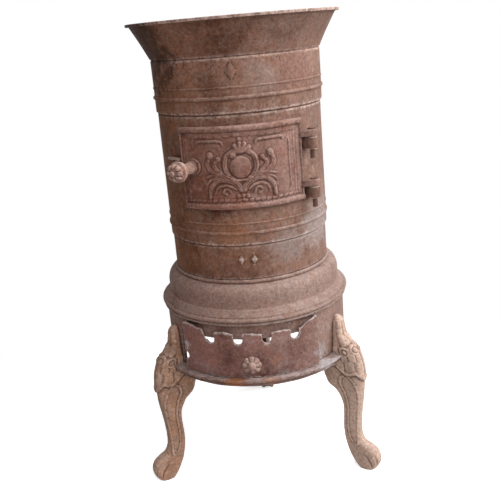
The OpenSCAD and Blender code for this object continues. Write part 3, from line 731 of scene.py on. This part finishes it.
def make_flared_collar():
    plate_z, seat_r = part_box("top_plate")[0].z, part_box("top_plate")[1].x + 0.3 * MM
    inner_r, rim_r, lip = FLARE_R - WALL, RIM_R - 0.5 * MM, 4 * MM
    outline = [(inner_r, Z_FLARE)]
    outline += [(FLARE_R + (rim_r - 5.5 * MM - FLARE_R) * (0.88 * t + 0.12 * t * t),
                 Z_FLARE + (Z_RIM - lip - Z_FLARE) * t) for t in np.linspace(0, 1, 9)]
    outline += [(rim_r, Z_RIM - lip), (rim_r, Z_RIM)] + offsets(seat_r, Z_RIM, (6, 0), (0, -5))
    outline += offsets(seat_r, plate_z, (0, 0), (-10, 0), (-10, -5), (-6, -9))
    obj = lathe("flared_collar_cast", outline, seed=67, wobble=0.45 * MM)
    finish_piece(obj, "stove", "barrel", "flared_collar", soot=inner_r + 2 * MM, depth=0.5 * MM)


def remeshed(node, voxel, seed, rough, scale):
    """A dense, slightly worn and uneven copy of a CAD node."""
    name = node + "_cast"
    obj = placed(name, frame["nodes"][node].data.copy())
    edited(obj.data, lambda work: bmesh.ops.remove_doubles(work, verts=work.verts, dist=0.01 * MM))
    mod = obj.modifiers.new("remesh", "REMESH")
    mod.mode = "VOXEL"
    mod.voxel_size = voxel
    apply_modifiers(obj)
    obj.data.name = name
    co = smoothed(coords(obj.data), edge_pairs(obj.data), 2)
    sink = value_noise(co, scale, seed) * 0.5 - 0.5 + 0.3 * value_noise(co, scale / 3.5, seed + 1)
    set_coords(obj.data, co + normals(obj.data) * (sink * rough)[:, None])
    return obj


def make_top_and_flue():
    """Castings that stay as the CAD has them. Sizes of voxels and of unevenness in millimetres."""
    for slot, node, voxel, scale, seed in (
            ("top", "top_plate", 2.0, 20, 71), ("top", "lid_ring", 1.7, 20, 73),
            ("top", "lid", 1.2, 20, 79), ("flue", "flue_collar", 1.6, 9, 83)):
        obj = remeshed(node, voxel * MM, seed, 0.4 * MM, scale * MM)
        finish_piece(obj, "stove", slot, node, angle=50, depth=0.3 * MM)


def make_ash_door():
    obj = remeshed("ash_door", 0.95 * MM, 89, 0.7 * MM, 16 * MM)
    finish_piece(obj, "ash_door", "ash_door", "ash_door", angle=60, depth=0.22 * MM, rounds=10)


# ---- fire door ----

def spline(points, steps=6):
    """Catmull-Rom curve through points of any dimension."""
    p = np.array(points, float)
    p = np.vstack((2 * p[0] - p[1], p, 2 * p[-1] - p[-2]))
    t = np.linspace(0, 1, steps, endpoint=False)[:, None]
    parts = []
    for a, b, c, d in zip(p[:-3], p[1:-2], p[2:-1], p[3:]):
        parts.append(0.5 * (2 * b + (c - a) * t + (2 * a - 5 * b + 4 * c - d) * t ** 2
                            + (3 * b - a - 3 * c + d) * t ** 3))
    return np.vstack(parts + [p[-2:-1]])


class Relief:
    """Raised strokes on a surface unrolled to u and v, in millimetres."""

    def __init__(self, u, v):
        self.u, self.v = u, v
        self.h = np.zeros_like(u)

    def raise_to(self, h):
        self.h = np.maximum(self.h, h)

    def along(self, points, w0, w1):
        """The gap to each stretch of a curve, with its half width there, which runs from w0 to w1."""
        line = spline(points) if len(points) > 2 else np.array(points, float)
        widths = np.linspace(w0, w1, len(line))
        for a, b, wa, wb in zip(line[:-1], line[1:], widths[:-1], widths[1:]):
            d = b - a
            t = np.clip(((self.u - a[0]) * d[0] + (self.v - a[1]) * d[1]) / max(d @ d, 1e-9), 0, 1)
            yield np.hypot(self.u - a[0] - t * d[0], self.v - a[1] - t * d[1]), wa + (wb - wa) * t

    def ridge(self, points, w0, w1, height):
        """A rounded ridge along a curve, lower where it thins."""
        for gap, w in self.along(points, w0, w1):
            self.raise_to(bump(gap, w, height) * np.minimum(1, 0.6 + 0.4 * w / w0))

    def ridges(self, points, w0, w1, height):
        """A ridge and its mirror image."""
        for side in both(points):
            self.ridge(side, w0, w1, height)

    def knob(self, u, v, r, height):
        self.raise_to(bump(np.hypot(self.u - u, self.v - v), r, height))

    def groove(self, points, w, depth):
        for gap, _ in self.along(points, w, w):
            self.h = self.h - depth * np.clip(1 - (gap / w) ** 2, 0, 1)


AXIS_U = -2           # middle of the ornament


def both(points):
    """A stroke and its mirror image about the ornament's middle."""
    return points, [(2 * AXIS_U - u, v) for u, v in points]


def door_border(r, half_w, half_h):
    """Rounded frame, scalloped band along the top, beads along the foot, lines at the sides."""
    for across, half, w, height in ((r.v, half_h, 4.6, 3.6), (r.u, half_w, 1.7, 2.2)):
        r.raise_to(bump(np.abs(across) - half + w, w, height))
    pitch = 13
    scallop = 49.5 - bump(r.u % pitch - pitch / 2, pitch / 2, 2.8)
    r.raise_to(1.2 * smoothstep(r.v - scallop, -0.8, 0.8) * (np.abs(r.u) < 89))
    for u in np.arange(-84, 86, 9.4):
        r.ridge([(u - 2, -49.8), (u + 2, -49.2)], 2.4, 2.2, 1.3)
    r.ridge([(-88, -53.5), (88, -53.5)], 1.2, 1.2, 0.9)
    r.ridge([(-90, -46), (-90, 46)], 1.4, 1.4, 0.9)
    r.ridge([(86, -45), (86, 45)], 1.4, 1.4, 1.0)
    r.ridge([(92, -50), (92, 48)], 1.2, 1.2, 0.7)
    r.ridge([(72, 33), (75, 37), (77, 32), (76, 0), (77, -36), (73, -43)], 1.6, 1.4, 1.3)
    r.ridges([(-70, 38), (-66, 41), (-32, 41), (-27, 36)], 2.4, 1.7, 2.2)


def door_medallion(r):
    """Domed oval in a ring of two C scrolls, with a leafy crest above and a footed neck below."""
    oval = np.hypot((r.u - AXIS_U) / 16, (r.v - 1.5) / 17)
    r.raise_to(np.where(oval < 1, 0.8 + bump(oval, 1, 3.6), 0))
    r.ridge([(-7, -27), (-16, -17), (-23, -8), (-26, 4), (-24, 17), (-16, 23.5)], 3.4, 3.8, 3.2)
    r.knob(-13, 20, 5.2, 4.4)
    r.ridge([(3, -27), (12, -17), (19, -8), (22.5, 4), (20, 17), (11, 25)], 3.4, 3.8, 3.2)
    r.groove([(-17, -14), (-23.5, -5), (-25.5, 5), (-23, 17)], 0.9, 1.0)
    r.groove([(13, -14), (19.5, -5), (21.5, 5), (19, 17)], 0.9, 1.0)
    r.ridge([(-11, 25), (-3, 29), (6, 28.5), (13, 24)], 5.0, 4.6, 3.0)
    for tip, w in (((-9, 33), 3.4), ((-2, 36), 3.4), ((6, 35), 3.6), ((13, 31), 3.6)):
        r.ridge([(-2 + 0.3 * tip[0], 25), tip], w * 0.8, w, 3.4)
    r.knob(-2, 42.5, 3.2, 1.5)
    r.ridge([(-11, -18.5), (7, -18.5)], 1.8, 1.8, 2.2)


def leaf(r, points, w0, w1, height):
    """A broad leaf along a curve with a vein groove to each side of its middle, and its mirror image."""
    for s in both(points):
        line = spline(s)
        ahead = np.gradient(line, axis=0)
        across = np.stack((-ahead[:, 1], ahead[:, 0]), 1) / np.hypot(*ahead.T)[:, None]
        r.ridge(s, w0, w1, height)
        reach = np.linspace(0.36 * w0, 0.30 * w1, len(line))[:, None]
        for side in (-1, 1):
            r.groove((line + side * across * reach)[2:-3:3], 0.9, 0.28 * height)


def door_leaves(r):
    """Arched leaves and scrolls to both sides of the medallion, and a flower at the foot."""
    low_leaf = [(-4, -33), (-10, -24), (-20, -18), (-32, -16), (-43, -20), (-51, -30), (-54, -44)]
    leaf(r, low_leaf, 4.6, 3.0, 3.0)
    r.ridges([(-12, -32), (-20, -27), (-31, -25.5), (-40, -29), (-45, -39)], 2.4, 1.3, 1.8)
    leaf(r, [(-14, -17), (-26, -10.5), (-38, -7.5), (-49, -3), (-54, 7), (-50, 18)], 4.2, 3.2, 2.9)
    leaf(r, [(-30, -9), (-40, -1), (-42.5, 7), (-37, 13)], 3.6, 2.6, 2.5)
    r.ridges([(-36, -9), (-46, -10), (-57, -13)], 3.6, 1.4, 2.2)
    r.ridges([(-40, -13), (-50, -17), (-58, -24)], 2.8, 1.2, 1.8)
    r.ridges([(-27, -40), (-32, -36), (-29, -31.5), (-23, -32), (-20, -38)], 2.2, 1.7, 1.7)
    for outer, inner in both([(-49, 20), (-36, 14)]):
        r.knob(*outer, 5.6, 3.9)
        r.knob(*inner, 4.2, 3.1)
    for u, v, size in ((-2, -34, 4.0), (-9, -43, 3.6), (5, -43, 3.6), (-2, -42, 3.6), (-2, -48.5, 2.6)):
        r.knob(u, v, size, 2.5)


def softened(grid, rounds):
    """A grid of heights blurred by its neighbours, along one axis and then the other."""
    for _ in range(2 * rounds):
        pad = np.pad(grid, ((1, 1), (0, 0)), mode="edge")
        grid = (0.5 * grid + 0.25 * (pad[:-2] + pad[2:])).T
    return grid


def door_radius(az, z):
    """Radius of the door's face at each place, with its ornament and eased edges."""
    face_r, bend = DOOR_R + 4.4 * MM, 0.8
    u = np.radians(az - sum(DOOR_AZ) / 2) * (face_r + 1.6 * MM) / MM
    v = (z - sum(DOOR_Z) / 2) / MM
    p = ring_xyz(face_r, az, z)
    relief = Relief(u + bend * value_noise(p, 22 * MM, 5), v + bend * value_noise(p, 22 * MM, 6))
    half_w, half_h = u.max(), v.max()
    door_border(relief, half_w + 0.2, half_h + 0.2)
    door_medallion(relief)
    door_leaves(relief)
    rough = 0.16 * value_noise(p, 5 * MM, 7) + 0.12 * value_noise(p, 2 * MM, 8)
    raised = 1.15 * softened(relief.h, 2) + rough
    edge = np.minimum(half_w - np.abs(u), half_h - np.abs(v))
    return face_r + (raised - 1.2 * (1 - smoothstep(edge, 0, 1.6))) * MM


def door_plate():
    """The curved door as one closed shell: a fine front, a coarse back and four edges."""
    cols, rows, back_rows = 290, 176, 6
    az, z = np.meshgrid(np.linspace(*DOOR_AZ, cols), np.linspace(*DOOR_Z, rows))
    front_xyz = ring_xyz(door_radius(az, z), az, z).reshape(-1, 3)
    back_xyz = ring_xyz(DOOR_R + 0.4 * MM, az[:1], np.linspace(*DOOR_Z, back_rows)[:, None]).reshape(-1, 3)
    n = cols * rows
    front = np.arange(n).reshape(rows, cols)
    back = n + np.arange(cols * back_rows).reshape(back_rows, cols)
    faces = grid_faces(rows, cols).tolist() + (n + grid_faces(back_rows, cols)[:, ::-1]).tolist()
    faces += np.stack((back[0, :-1], back[0, 1:], front[0, 1:], front[0, :-1]), 1).tolist()
    faces += np.stack((front[-1, :-1], front[-1, 1:], back[-1, 1:], back[-1, :-1]), 1).tolist()
    faces += [front[:, 0].tolist() + back[::-1, 0].tolist(), back[:, -1].tolist() + front[::-1, -1].tolist()]
    return new_object("fire_door_cast", np.vstack((front_xyz, back_xyz)), faces)


def hinge_arm(top):
    """A slab from the door's edge to an eye round the hinge pin, with an outline that laps the eye."""
    s, c = out(DOOR_AZ[1] - 1.6)
    outline = [(r * s, r * c) for r in (DOOR_R + 1.2 * MM, DOOR_R + 7.5 * MM)]
    outline += arc(HINGE.x, HINGE.y, ARM_R, np.linspace(HINGE_AZ - 132, HINGE_AZ + 458, 16))
    obj = prism("hinge_arm", outline, top + 0.3 * MM, top + 0.3 * MM + ARM_H)
    return bevelled(obj, 2.0 * MM, segments=3, angle=50)


def make_fire_door():
    obj = door_plate()
    for top in ARM_Z:
        join(obj, hinge_arm(top))
    for r, low, high in ((13 * MM, DOOR_R + 1.4 * MM, DOOR_R + 8.8 * MM),
                         (10 * MM, DOOR_R - 9.5 * MM, DOOR_R + 14 * MM)):
        disc = prism("boss", disc_outline(r, 56), 0, high - low, facing(KNOB_AZ, low, KNOB_Z))
        join(obj, bevelled(disc, 1.4 * MM, segments=3))
    for top in ARM_Z:
        cut(obj, upright("pin_bore", PIN_R + 0.1 * MM, top - MM, top + ARM_H + 3 * MM))
    stem = facing(KNOB_AZ, DOOR_R - 14 * MM, KNOB_Z)
    cut(obj, prism("knob_bore", disc_outline(5.1 * MM, 40), 0, 40 * MM, stem))
    finish_piece(obj, "fire_door", "door", "fire_door", angle=50, depth=0.3 * MM, rounds=9)


# ---- knobs ----

def turned_about(name, az, z, profile, shape):
    """A solid turned about the outward axis at an azimuth. profile: (distance from the stove's axis,
    radius) from the inner end to the outer; shape(d, r, angle) bends each ring's distance and radius."""
    n, cols = len(profile), 112
    a = np.linspace(0, 2 * math.pi, cols, endpoint=False)
    d, r = (np.repeat(column[:, None], cols, 1) for column in np.array(profile).T)
    d, r = shape(d, r, a)
    p = np.stack((r * np.cos(a), r * np.sin(a), d), axis=-1).reshape(-1, 3)
    ends = [[0, 0, d[0].mean()], [0, 0, d[-1].mean()]]
    top, around = (n - 1) * cols, [(i, (i + 1) % cols) for i in range(cols)]
    faces = grid_faces(n, cols, wrap_cols=True).tolist()
    faces += [[n * cols, j, i] for i, j in around]
    faces += [[n * cols + 1, top + i, top + j] for i, j in around]
    obj = new_object(name, np.vstack((p, ends)), faces)
    obj.data.transform(facing(az, 0, z))
    return obj


def make_door_knob():
    """A ball cast as an open flower on a plain stem."""
    seat, ball, radius, petals = DOOR_R + 14.2 * MM, DOOR_R + 46.4 * MM, 16.3 * MM, 8
    profile = offsets(DOOR_R, 0, (-21.5, 4.2), (-21, 5))
    profile += [(d, 5 * MM) for d in np.linspace(DOOR_R - 18 * MM, seat - 0.1 * MM, 12)]
    profile += offsets(seat, 0, (0, 5.2), (0.1, 8.6), (1, 9.3))
    start = math.pi - math.asin(9 * MM / radius)
    neck = ball - radius * math.cos(math.pi - start) - seat
    profile += [(seat + t * neck, (9.3 - 0.8 * math.sin(math.pi * t)) * MM)
                for t in np.linspace(0.08, 0.9, 9)]
    profile += [(ball + radius * math.cos(t), radius * math.sin(t)) for t in np.linspace(start, 0.03, 60)]

    def flower(d, r, a):
        theta = np.arctan2(r, d - ball)
        on_ball = smoothstep(d, ball - 0.9 * radius, ball - 0.4 * radius)
        lean = (a + math.pi / petals) % (2 * math.pi / petals) - math.pi / petals
        petal = 1 - ((theta - 0.92) / 0.40) ** 2 - (lean * np.sin(0.92) / 0.31) ** 2
        bud = 1 - (theta / 0.36) ** 2
        raised = 3.6 * np.sqrt(np.clip(np.maximum(petal, bud), 0, 1)) - 1.1 * np.exp(-(theta / 0.11) ** 2)
        collar = 3.6 * smoothstep(theta, 1.36, 1.62)
        shrink = 1 - on_ball * (3.8 - np.maximum(raised, collar)) * MM / radius
        return ball + (d - ball) * shrink, r * shrink

    obj = turned_about("door_knob_flower", KNOB_AZ, KNOB_Z, profile, flower)
    push(obj, lambda co: 0.2 * (value_noise(co, 4 * MM, 91) - 1))
    finish_piece(obj, "latch", "knob", "door_knob", angle=60, depth=0.5 * MM)


def make_ash_knob():
    """A rosette of petals with a domed middle."""
    petals, face = 8, BASE_R + 10 * MM
    petal = [(0.8 + 4 * math.sin(1.4 * t), 16.2 - 9 * t ** 1.2) for t in np.linspace(0.04, 1, 25)]
    dome = [(4.6 + 6.4 * math.sin(t), 7.0 * math.cos(t) + 0.1)
            for t in np.linspace(0.04, 1, 18) * math.pi / 2]
    profile = offsets(face, 0, (-14, 4), (-7, 4), (0, 4), (0.1, 14), (0.8, 15.6), *petal, *dome)

    def rosette(d, r, a):
        between = 1 - np.abs(np.cos(a * petals / 2)) ** 0.6
        sunk = 2.4 * MM * between * smoothstep(r, 6.5 * MM, 8.5 * MM) * (d > face + 0.3 * MM)
        return d - sunk, r * (1 - 0.13 * between * smoothstep(r, 11 * MM, 15 * MM))

    obj = turned_about("ash_knob_rosette", -2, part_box("ash_door")[0].z + 23 * MM, profile, rosette)
    push(obj, lambda co: 0.2 * (value_noise(co, 3 * MM, 93) - 1))
    finish_piece(obj, "ash_door", "ash_door", "ash_knob", angle=60, depth=0.5 * MM, material="knob")


# ---- legs ----

# Sections from the top down, in millimetres: outer point as distance from the ring's wall and height,
# inner point likewise, half width
LEG_STATIONS = [
    (6, 282, 0.2, 282, 3.5), (10, 277, 0, 277, 7), (13, 270, 0, 270, 10.5),
    (16, 252, 0, 252, 13), (21, 246, 0, 245, 13.5), (28, 239, 0, 236, 14),
    (39, 222, 0, 219, 14.5), (45, 207, 0, 204.6, 14.3), (45.6, 205, -22, 203.9, 14.2),
    (48, 192, -22, 186, 14.1), (49, 168, -14, 160, 13.8), (48, 148, 2, 146, 13.4),
    (45.4, 128, 12, 126, 12.7), (42.6, 108, 13.4, 106, 12.0), (41.2, 92, 12.2, 88, 11.3),
    (40.8, 76, 12, 70, 11.0), (42, 62, 14.5, 52, 11.6), (48, 50.4, 20, 34, 12.4),
    (59.5, 44.4, 27, 20, 13.3), (69, 37.4, 35, 8, 13.6), (74.4, 27, 42, 1, 13.4),
    (74, 15, 47, 0.1, 13.2), (70, 6.5, 53, 0, 12.6), (63, 1.2, 57, 0.1, 11),
]


def leg_lines():
    """Dense outer points, inner points and half widths down the leg, with a step where its tab ends."""
    rows = np.array(LEG_STATIONS, float)
    line = np.vstack((spline(rows[:8], 14), spline(rows[8:], 14)))
    path = np.concatenate(([0], np.cumsum(np.hypot(np.diff(line[:, 0]), np.diff(line[:, 1])))))
    keep = np.concatenate(([True], np.diff(np.floor(path / 1.25)) > 0))
    keep[-1] = True
    jump = np.abs(np.diff(line[:, 2], append=line[-1, 2])) > 8
    return line[keep | jump | np.roll(jump, 1)]


def leg_panel(q, z, girth):
    """A sunk field with a rounded border down the leg's side."""
    middle_q, middle_z, half_panel, share = 0.53, 112, 66, 0.25
    inside = np.abs(z - middle_z) < half_panel + 2
    span = np.clip(1 - np.abs((z - middle_z) / half_panel) ** 4, 0, 1)
    gap = np.abs(q - middle_q) * girth - share * girth * np.sqrt(span)
    return inside * (bump(gap, 2.2, 1.5) - 0.8 * smoothstep(-gap, 1.2, 3.4))


def leg_leaves(q, z, girth):
    """A leaf collar over the knee with a lobed lower edge, veins and curls at its head."""
    edge = 168 + 24 * q + 9 * (1 - np.abs(np.cos(2 * math.pi * q)))
    above = smoothstep(z - edge, -1.5, 2.0)
    fade = 1 - smoothstep(z, 224, 233)
    roll = np.exp(-((z - edge - 2.5) / 2.4) ** 2)
    h = fade * (2.7 * above + 1.4 * roll)
    for q0 in (0.0, 0.22, 0.5, 0.78):
        h = h - 1.6 * fade * smoothstep(z - edge, 4, 10) * np.exp(-((q - q0) * girth / 1.5) ** 2)
    for q0, z0, r, top in ((0.14, 226, 9.5, 4.6), (0.56, 222, 9.5, 4.4), (0.90, 213, 7, 3.2)):
        off = np.hypot((q - q0) * girth, z - z0)
        h = np.maximum(h, bump(off, r, top)) - 2.2 * np.exp(-((off - 0.48 * r) / 1.2) ** 2)
    return h


def leg_relief(side, z, half, depth):
    """Height of the casting's ornament, from the distance round the section and the height. The parts of
    it take q, that distance as a share of the girth."""
    girth = half + 0.8 * depth
    q = side / girth
    h = leg_panel(q, z, girth) + leg_leaves(q, z, girth)
    for k, z0 in enumerate((237, 247, 257, 267, 276)):
        off = np.hypot((q - 0.52 + 0.03 * k) * girth, (z - z0) * 0.9)
        h = np.maximum(h, bump(off, 6.0, 2.0))
    spine = smoothstep(z, 228, 236) * (1 - smoothstep(z, 275, 283))
    h = np.maximum(h, spine * bump(side, 3.4, 2.0))
    toe = (1 - smoothstep(z, 24, 40)) * smoothstep(z, 5, 9)
    for q0 in (0.24, 0.54):
        h = h - 1.5 * toe * np.exp(-((q - q0) * girth / 1.8) ** 2)
    return h


def leg_outline(half, depth, channel):
    """Half of a leg's section, from the nose round the side to the middle of the back channel:
    lateral place, depth behind the nose, and the distance along the outer skin."""
    nose = min(0.5 * depth, 1.1 * half)
    t = np.linspace(0, math.pi / 2, 40)
    skin = np.stack((half * np.sin(t) ** 0.75, nose * (1 - np.cos(t) ** 0.9)), 1)
    tail = [(half, nose), (0.97 * half, depth - 2.2), (0.9 * half, depth - 0.6), (0.8 * half, depth)]
    skin = np.vstack((skin[:-1], tail))
    run = np.concatenate(([0], np.cumsum(np.hypot(*np.diff(skin, axis=0).T))))
    even = np.linspace(0, run[-1], 40)
    skin = np.stack((np.interp(even, run, skin[:, 0]), np.interp(even, run, skin[:, 1])), 1)
    lip = 0.5 * half
    floor_d = depth - channel
    back = [(0.65 * half, depth), (lip, depth - 0.1)]
    wall = [(lip * (1 - 0.03 * k), depth + (floor_d - depth) * k / 4) for k in range(1, 5)]
    floor_line = [(lip * 0.55, floor_d - 0.2), (0, floor_d - 0.3)]
    line = np.vstack((skin, back, wall, floor_line))
    return line, np.concatenate((even, np.full(len(line) - len(skin), -1)))


def leg_ring(out_r, out_z, in_r, in_z, half):
    """Points (sideways, outward, up) round one section of the leg, between its outer and inner points."""
    depth = math.hypot(out_r - in_r, out_z - in_z)
    inward = np.array([in_r - out_r, in_z - out_z]) / depth
    hollow = smoothstep(out_z, 16, 30) * (1 - smoothstep(out_z, 176, 192))
    channel = 0.5 + (max(depth - 7.5, 0.6) - 0.5) * hollow
    outline, skin = leg_outline(half, depth, min(channel, 0.75 * depth))
    tangent = np.gradient(outline, axis=0)
    normal = np.stack((tangent[:, 1], -tangent[:, 0]), 1) / np.maximum(np.hypot(*tangent.T), 1e-9)[:, None]
    raised = leg_relief(np.maximum(skin, 0), out_z + inward[1] * outline[:, 1], half, depth)
    raised = raised * np.clip((skin.max() - skin) / 3, 0, 1) * (skin >= 0)
    x, d = (outline + normal * raised[:, None]).T
    right = np.stack((np.maximum(x, 0), out_r + inward[0] * d, out_z + inward[1] * d), 1)
    return np.vstack((right, right[1:-1][::-1] * (-1, 1, 1)))


def make_leg(name, az, seed):
    rings = np.array([leg_ring(*row) for row in leg_lines()])
    n, m = rings.shape[:2]
    x, outward, z = rings.reshape(-1, 3).T * MM
    r = BASE_R + 0.3 * MM + outward
    s, c = out(az)
    faces = grid_faces(n, m, wrap_cols=True).tolist()
    faces += [list(range(m))[::-1], [(n - 1) * m + i for i in range(m)]]
    obj = new_object(name + "_cast", np.stack((r * s - x * c, r * c + x * s, np.maximum(z, 0)), 1), faces)
    push(obj, lambda co: (0.22 * value_noise(co, 6 * MM, seed)
                          + 0.12 * value_noise(co, 2.4 * MM, seed + 1) - 0.1))
    set_coords(obj.data, np.maximum(coords(obj.data), (-np.inf, -np.inf, 0)))
    finish_piece(obj, "stove", "leg", name, angle=60, depth=0.5 * MM, rounds=8)


make_base_ring()
make_bell_skirt()
make_lower_barrel()
make_door_barrel()
make_upper_barrel()
make_flared_collar()
make_top_and_flue()
make_fire_door()
make_door_knob()
make_ash_door()
make_ash_knob()
for leg, (leg_name, leg_az) in enumerate(zip(("leg_left", "leg_right", "leg_rear"), LEG_AZ)):
    make_leg(leg_name, leg_az, 101 + 7 * leg)


# ---- stage ----

WHITE = (1, 1, 1, 1)


def seen_rays(n):
    """1 for the rays that show the background: from the camera, mirrored or refracted."""
    path = n.add("ShaderNodeLightPath").outputs
    seen = n.math("MAXIMUM", path["Is Camera Ray"], path["Is Transmission Ray"])
    return n.math("MAXIMUM", seen, path["Is Glossy Ray"])


def make_world():
    world = bpy.data.worlds.new("studio")
    bpy.context.scene.world = world
    world.use_nodes = True
    tree = world.node_tree
    n = Nodes(tree)
    plain = tree.nodes["Background"]
    plain.inputs["Color"].default_value = (1, 0.97, 0.95, 1)
    plain.inputs["Strength"].default_value = 0.075
    white = n.add("ShaderNodeBackground", {"Color": WHITE, "Strength": 1.0})
    mix = n.blend(seen_rays(n), plain, white)
    tree.links.new(mix.outputs[0], tree.nodes["World Output"].inputs["Surface"])


def make_floor():
    """A pale floor that keeps the shadow and runs out to the white of the background."""
    side, near, far = 6, 0.35, 0.8
    floor = new_object("floor", [(-side, -side, 0), (side, -side, 0), (side, side, 0), (-side, side, 0)],
                       [(0, 1, 2, 3)])
    material = bpy.data.materials.new("floor_white")
    material.use_nodes = True
    tree = material.node_tree
    shader = tree.nodes["Principled BSDF"]
    shader.inputs["Base Color"].default_value = (0.72, 0.72, 0.72, 1)
    shader.inputs["Roughness"].default_value = 0.9
    shader.inputs["Specular IOR Level"].default_value = 0.1
    n = Nodes(tree)
    glow = n.add("ShaderNodeEmission", {"Color": WHITE, "Strength": 0.78})
    lit = n.add("ShaderNodeAddShader", {0: shader.outputs[0], 1: glow.outputs[0]})
    white = n.add("ShaderNodeEmission", {"Color": WHITE, "Strength": 1.0})
    place = n.add("ShaderNodeTexCoord").outputs["Object"]
    away = n.vector("LENGTH", place, output="Value")
    seen = n.blend(n.ramp(away, near, far), lit, white)
    mix = n.blend(seen_rays(n), shader, seen)
    tree.links.new(mix.outputs[0], tree.nodes["Material Output"].inputs["Surface"])
    floor.data.materials.append(material)
    floor.location.z = -0.3 * MM


def area_light(name, az, elevation, distance, size, power, colour=(1, 1, 1)):
    """A square lamp that looks at the stove's middle from an azimuth and elevation in degrees."""
    target = Vector((0, 0, 0.45))
    s, c = out(az)
    e = math.radians(elevation)
    place = target + distance * Vector((s * math.cos(e), c * math.cos(e), math.sin(e)))
    lamp = bpy.data.lights.new(name, "AREA")
    lamp.energy = power
    lamp.size = size
    lamp.color = colour
    obj = placed(name, lamp)
    obj.location = place
    obj.rotation_euler = (target - place).to_track_quat("-Z", "Y").to_euler()


def make_camera():
    """The camera stands a little right of the front, just under the rim, looking down, and rolled."""
    distance, below_rim = 1.169, 0.018
    azimuth, pitch, roll, yaw = (math.radians(a) for a in (3.0, 17.63, -4.9, -0.12))
    focal_px, frame_px, sensor_mm = 700, 500, 36
    forward = Vector((math.sin(yaw) * math.cos(pitch), math.cos(yaw) * math.cos(pitch), -math.sin(pitch)))
    right = Vector((math.cos(yaw), -math.sin(yaw), 0))
    up = right.cross(forward)
    side = math.cos(roll) * right + math.sin(roll) * up
    top = -math.sin(roll) * right + math.cos(roll) * up
    turn = Matrix.Rotation(azimuth, 4, "Z")
    pose = Matrix((side, top, -forward)).transposed().to_4x4()
    pose.translation = Vector((0, -distance, Z_RIM - below_rim))
    data = bpy.data.cameras.new("camera")
    data.sensor_width = sensor_mm
    data.lens = focal_px / frame_px * sensor_mm
    camera = placed("camera", data)
    camera.matrix_world = turn @ pose
    bpy.context.scene.camera = camera


bpy.context.scene.view_settings.view_transform = "Standard"
make_camera()
make_world()
make_floor()
area_light("key", az=84, elevation=34, distance=2.2, size=1.8, power=80)
area_light("front", az=14, elevation=42, distance=2.4, size=1.6, power=38)
area_light("left_fill", az=-75, elevation=15, distance=2.4, size=1.6, power=1)
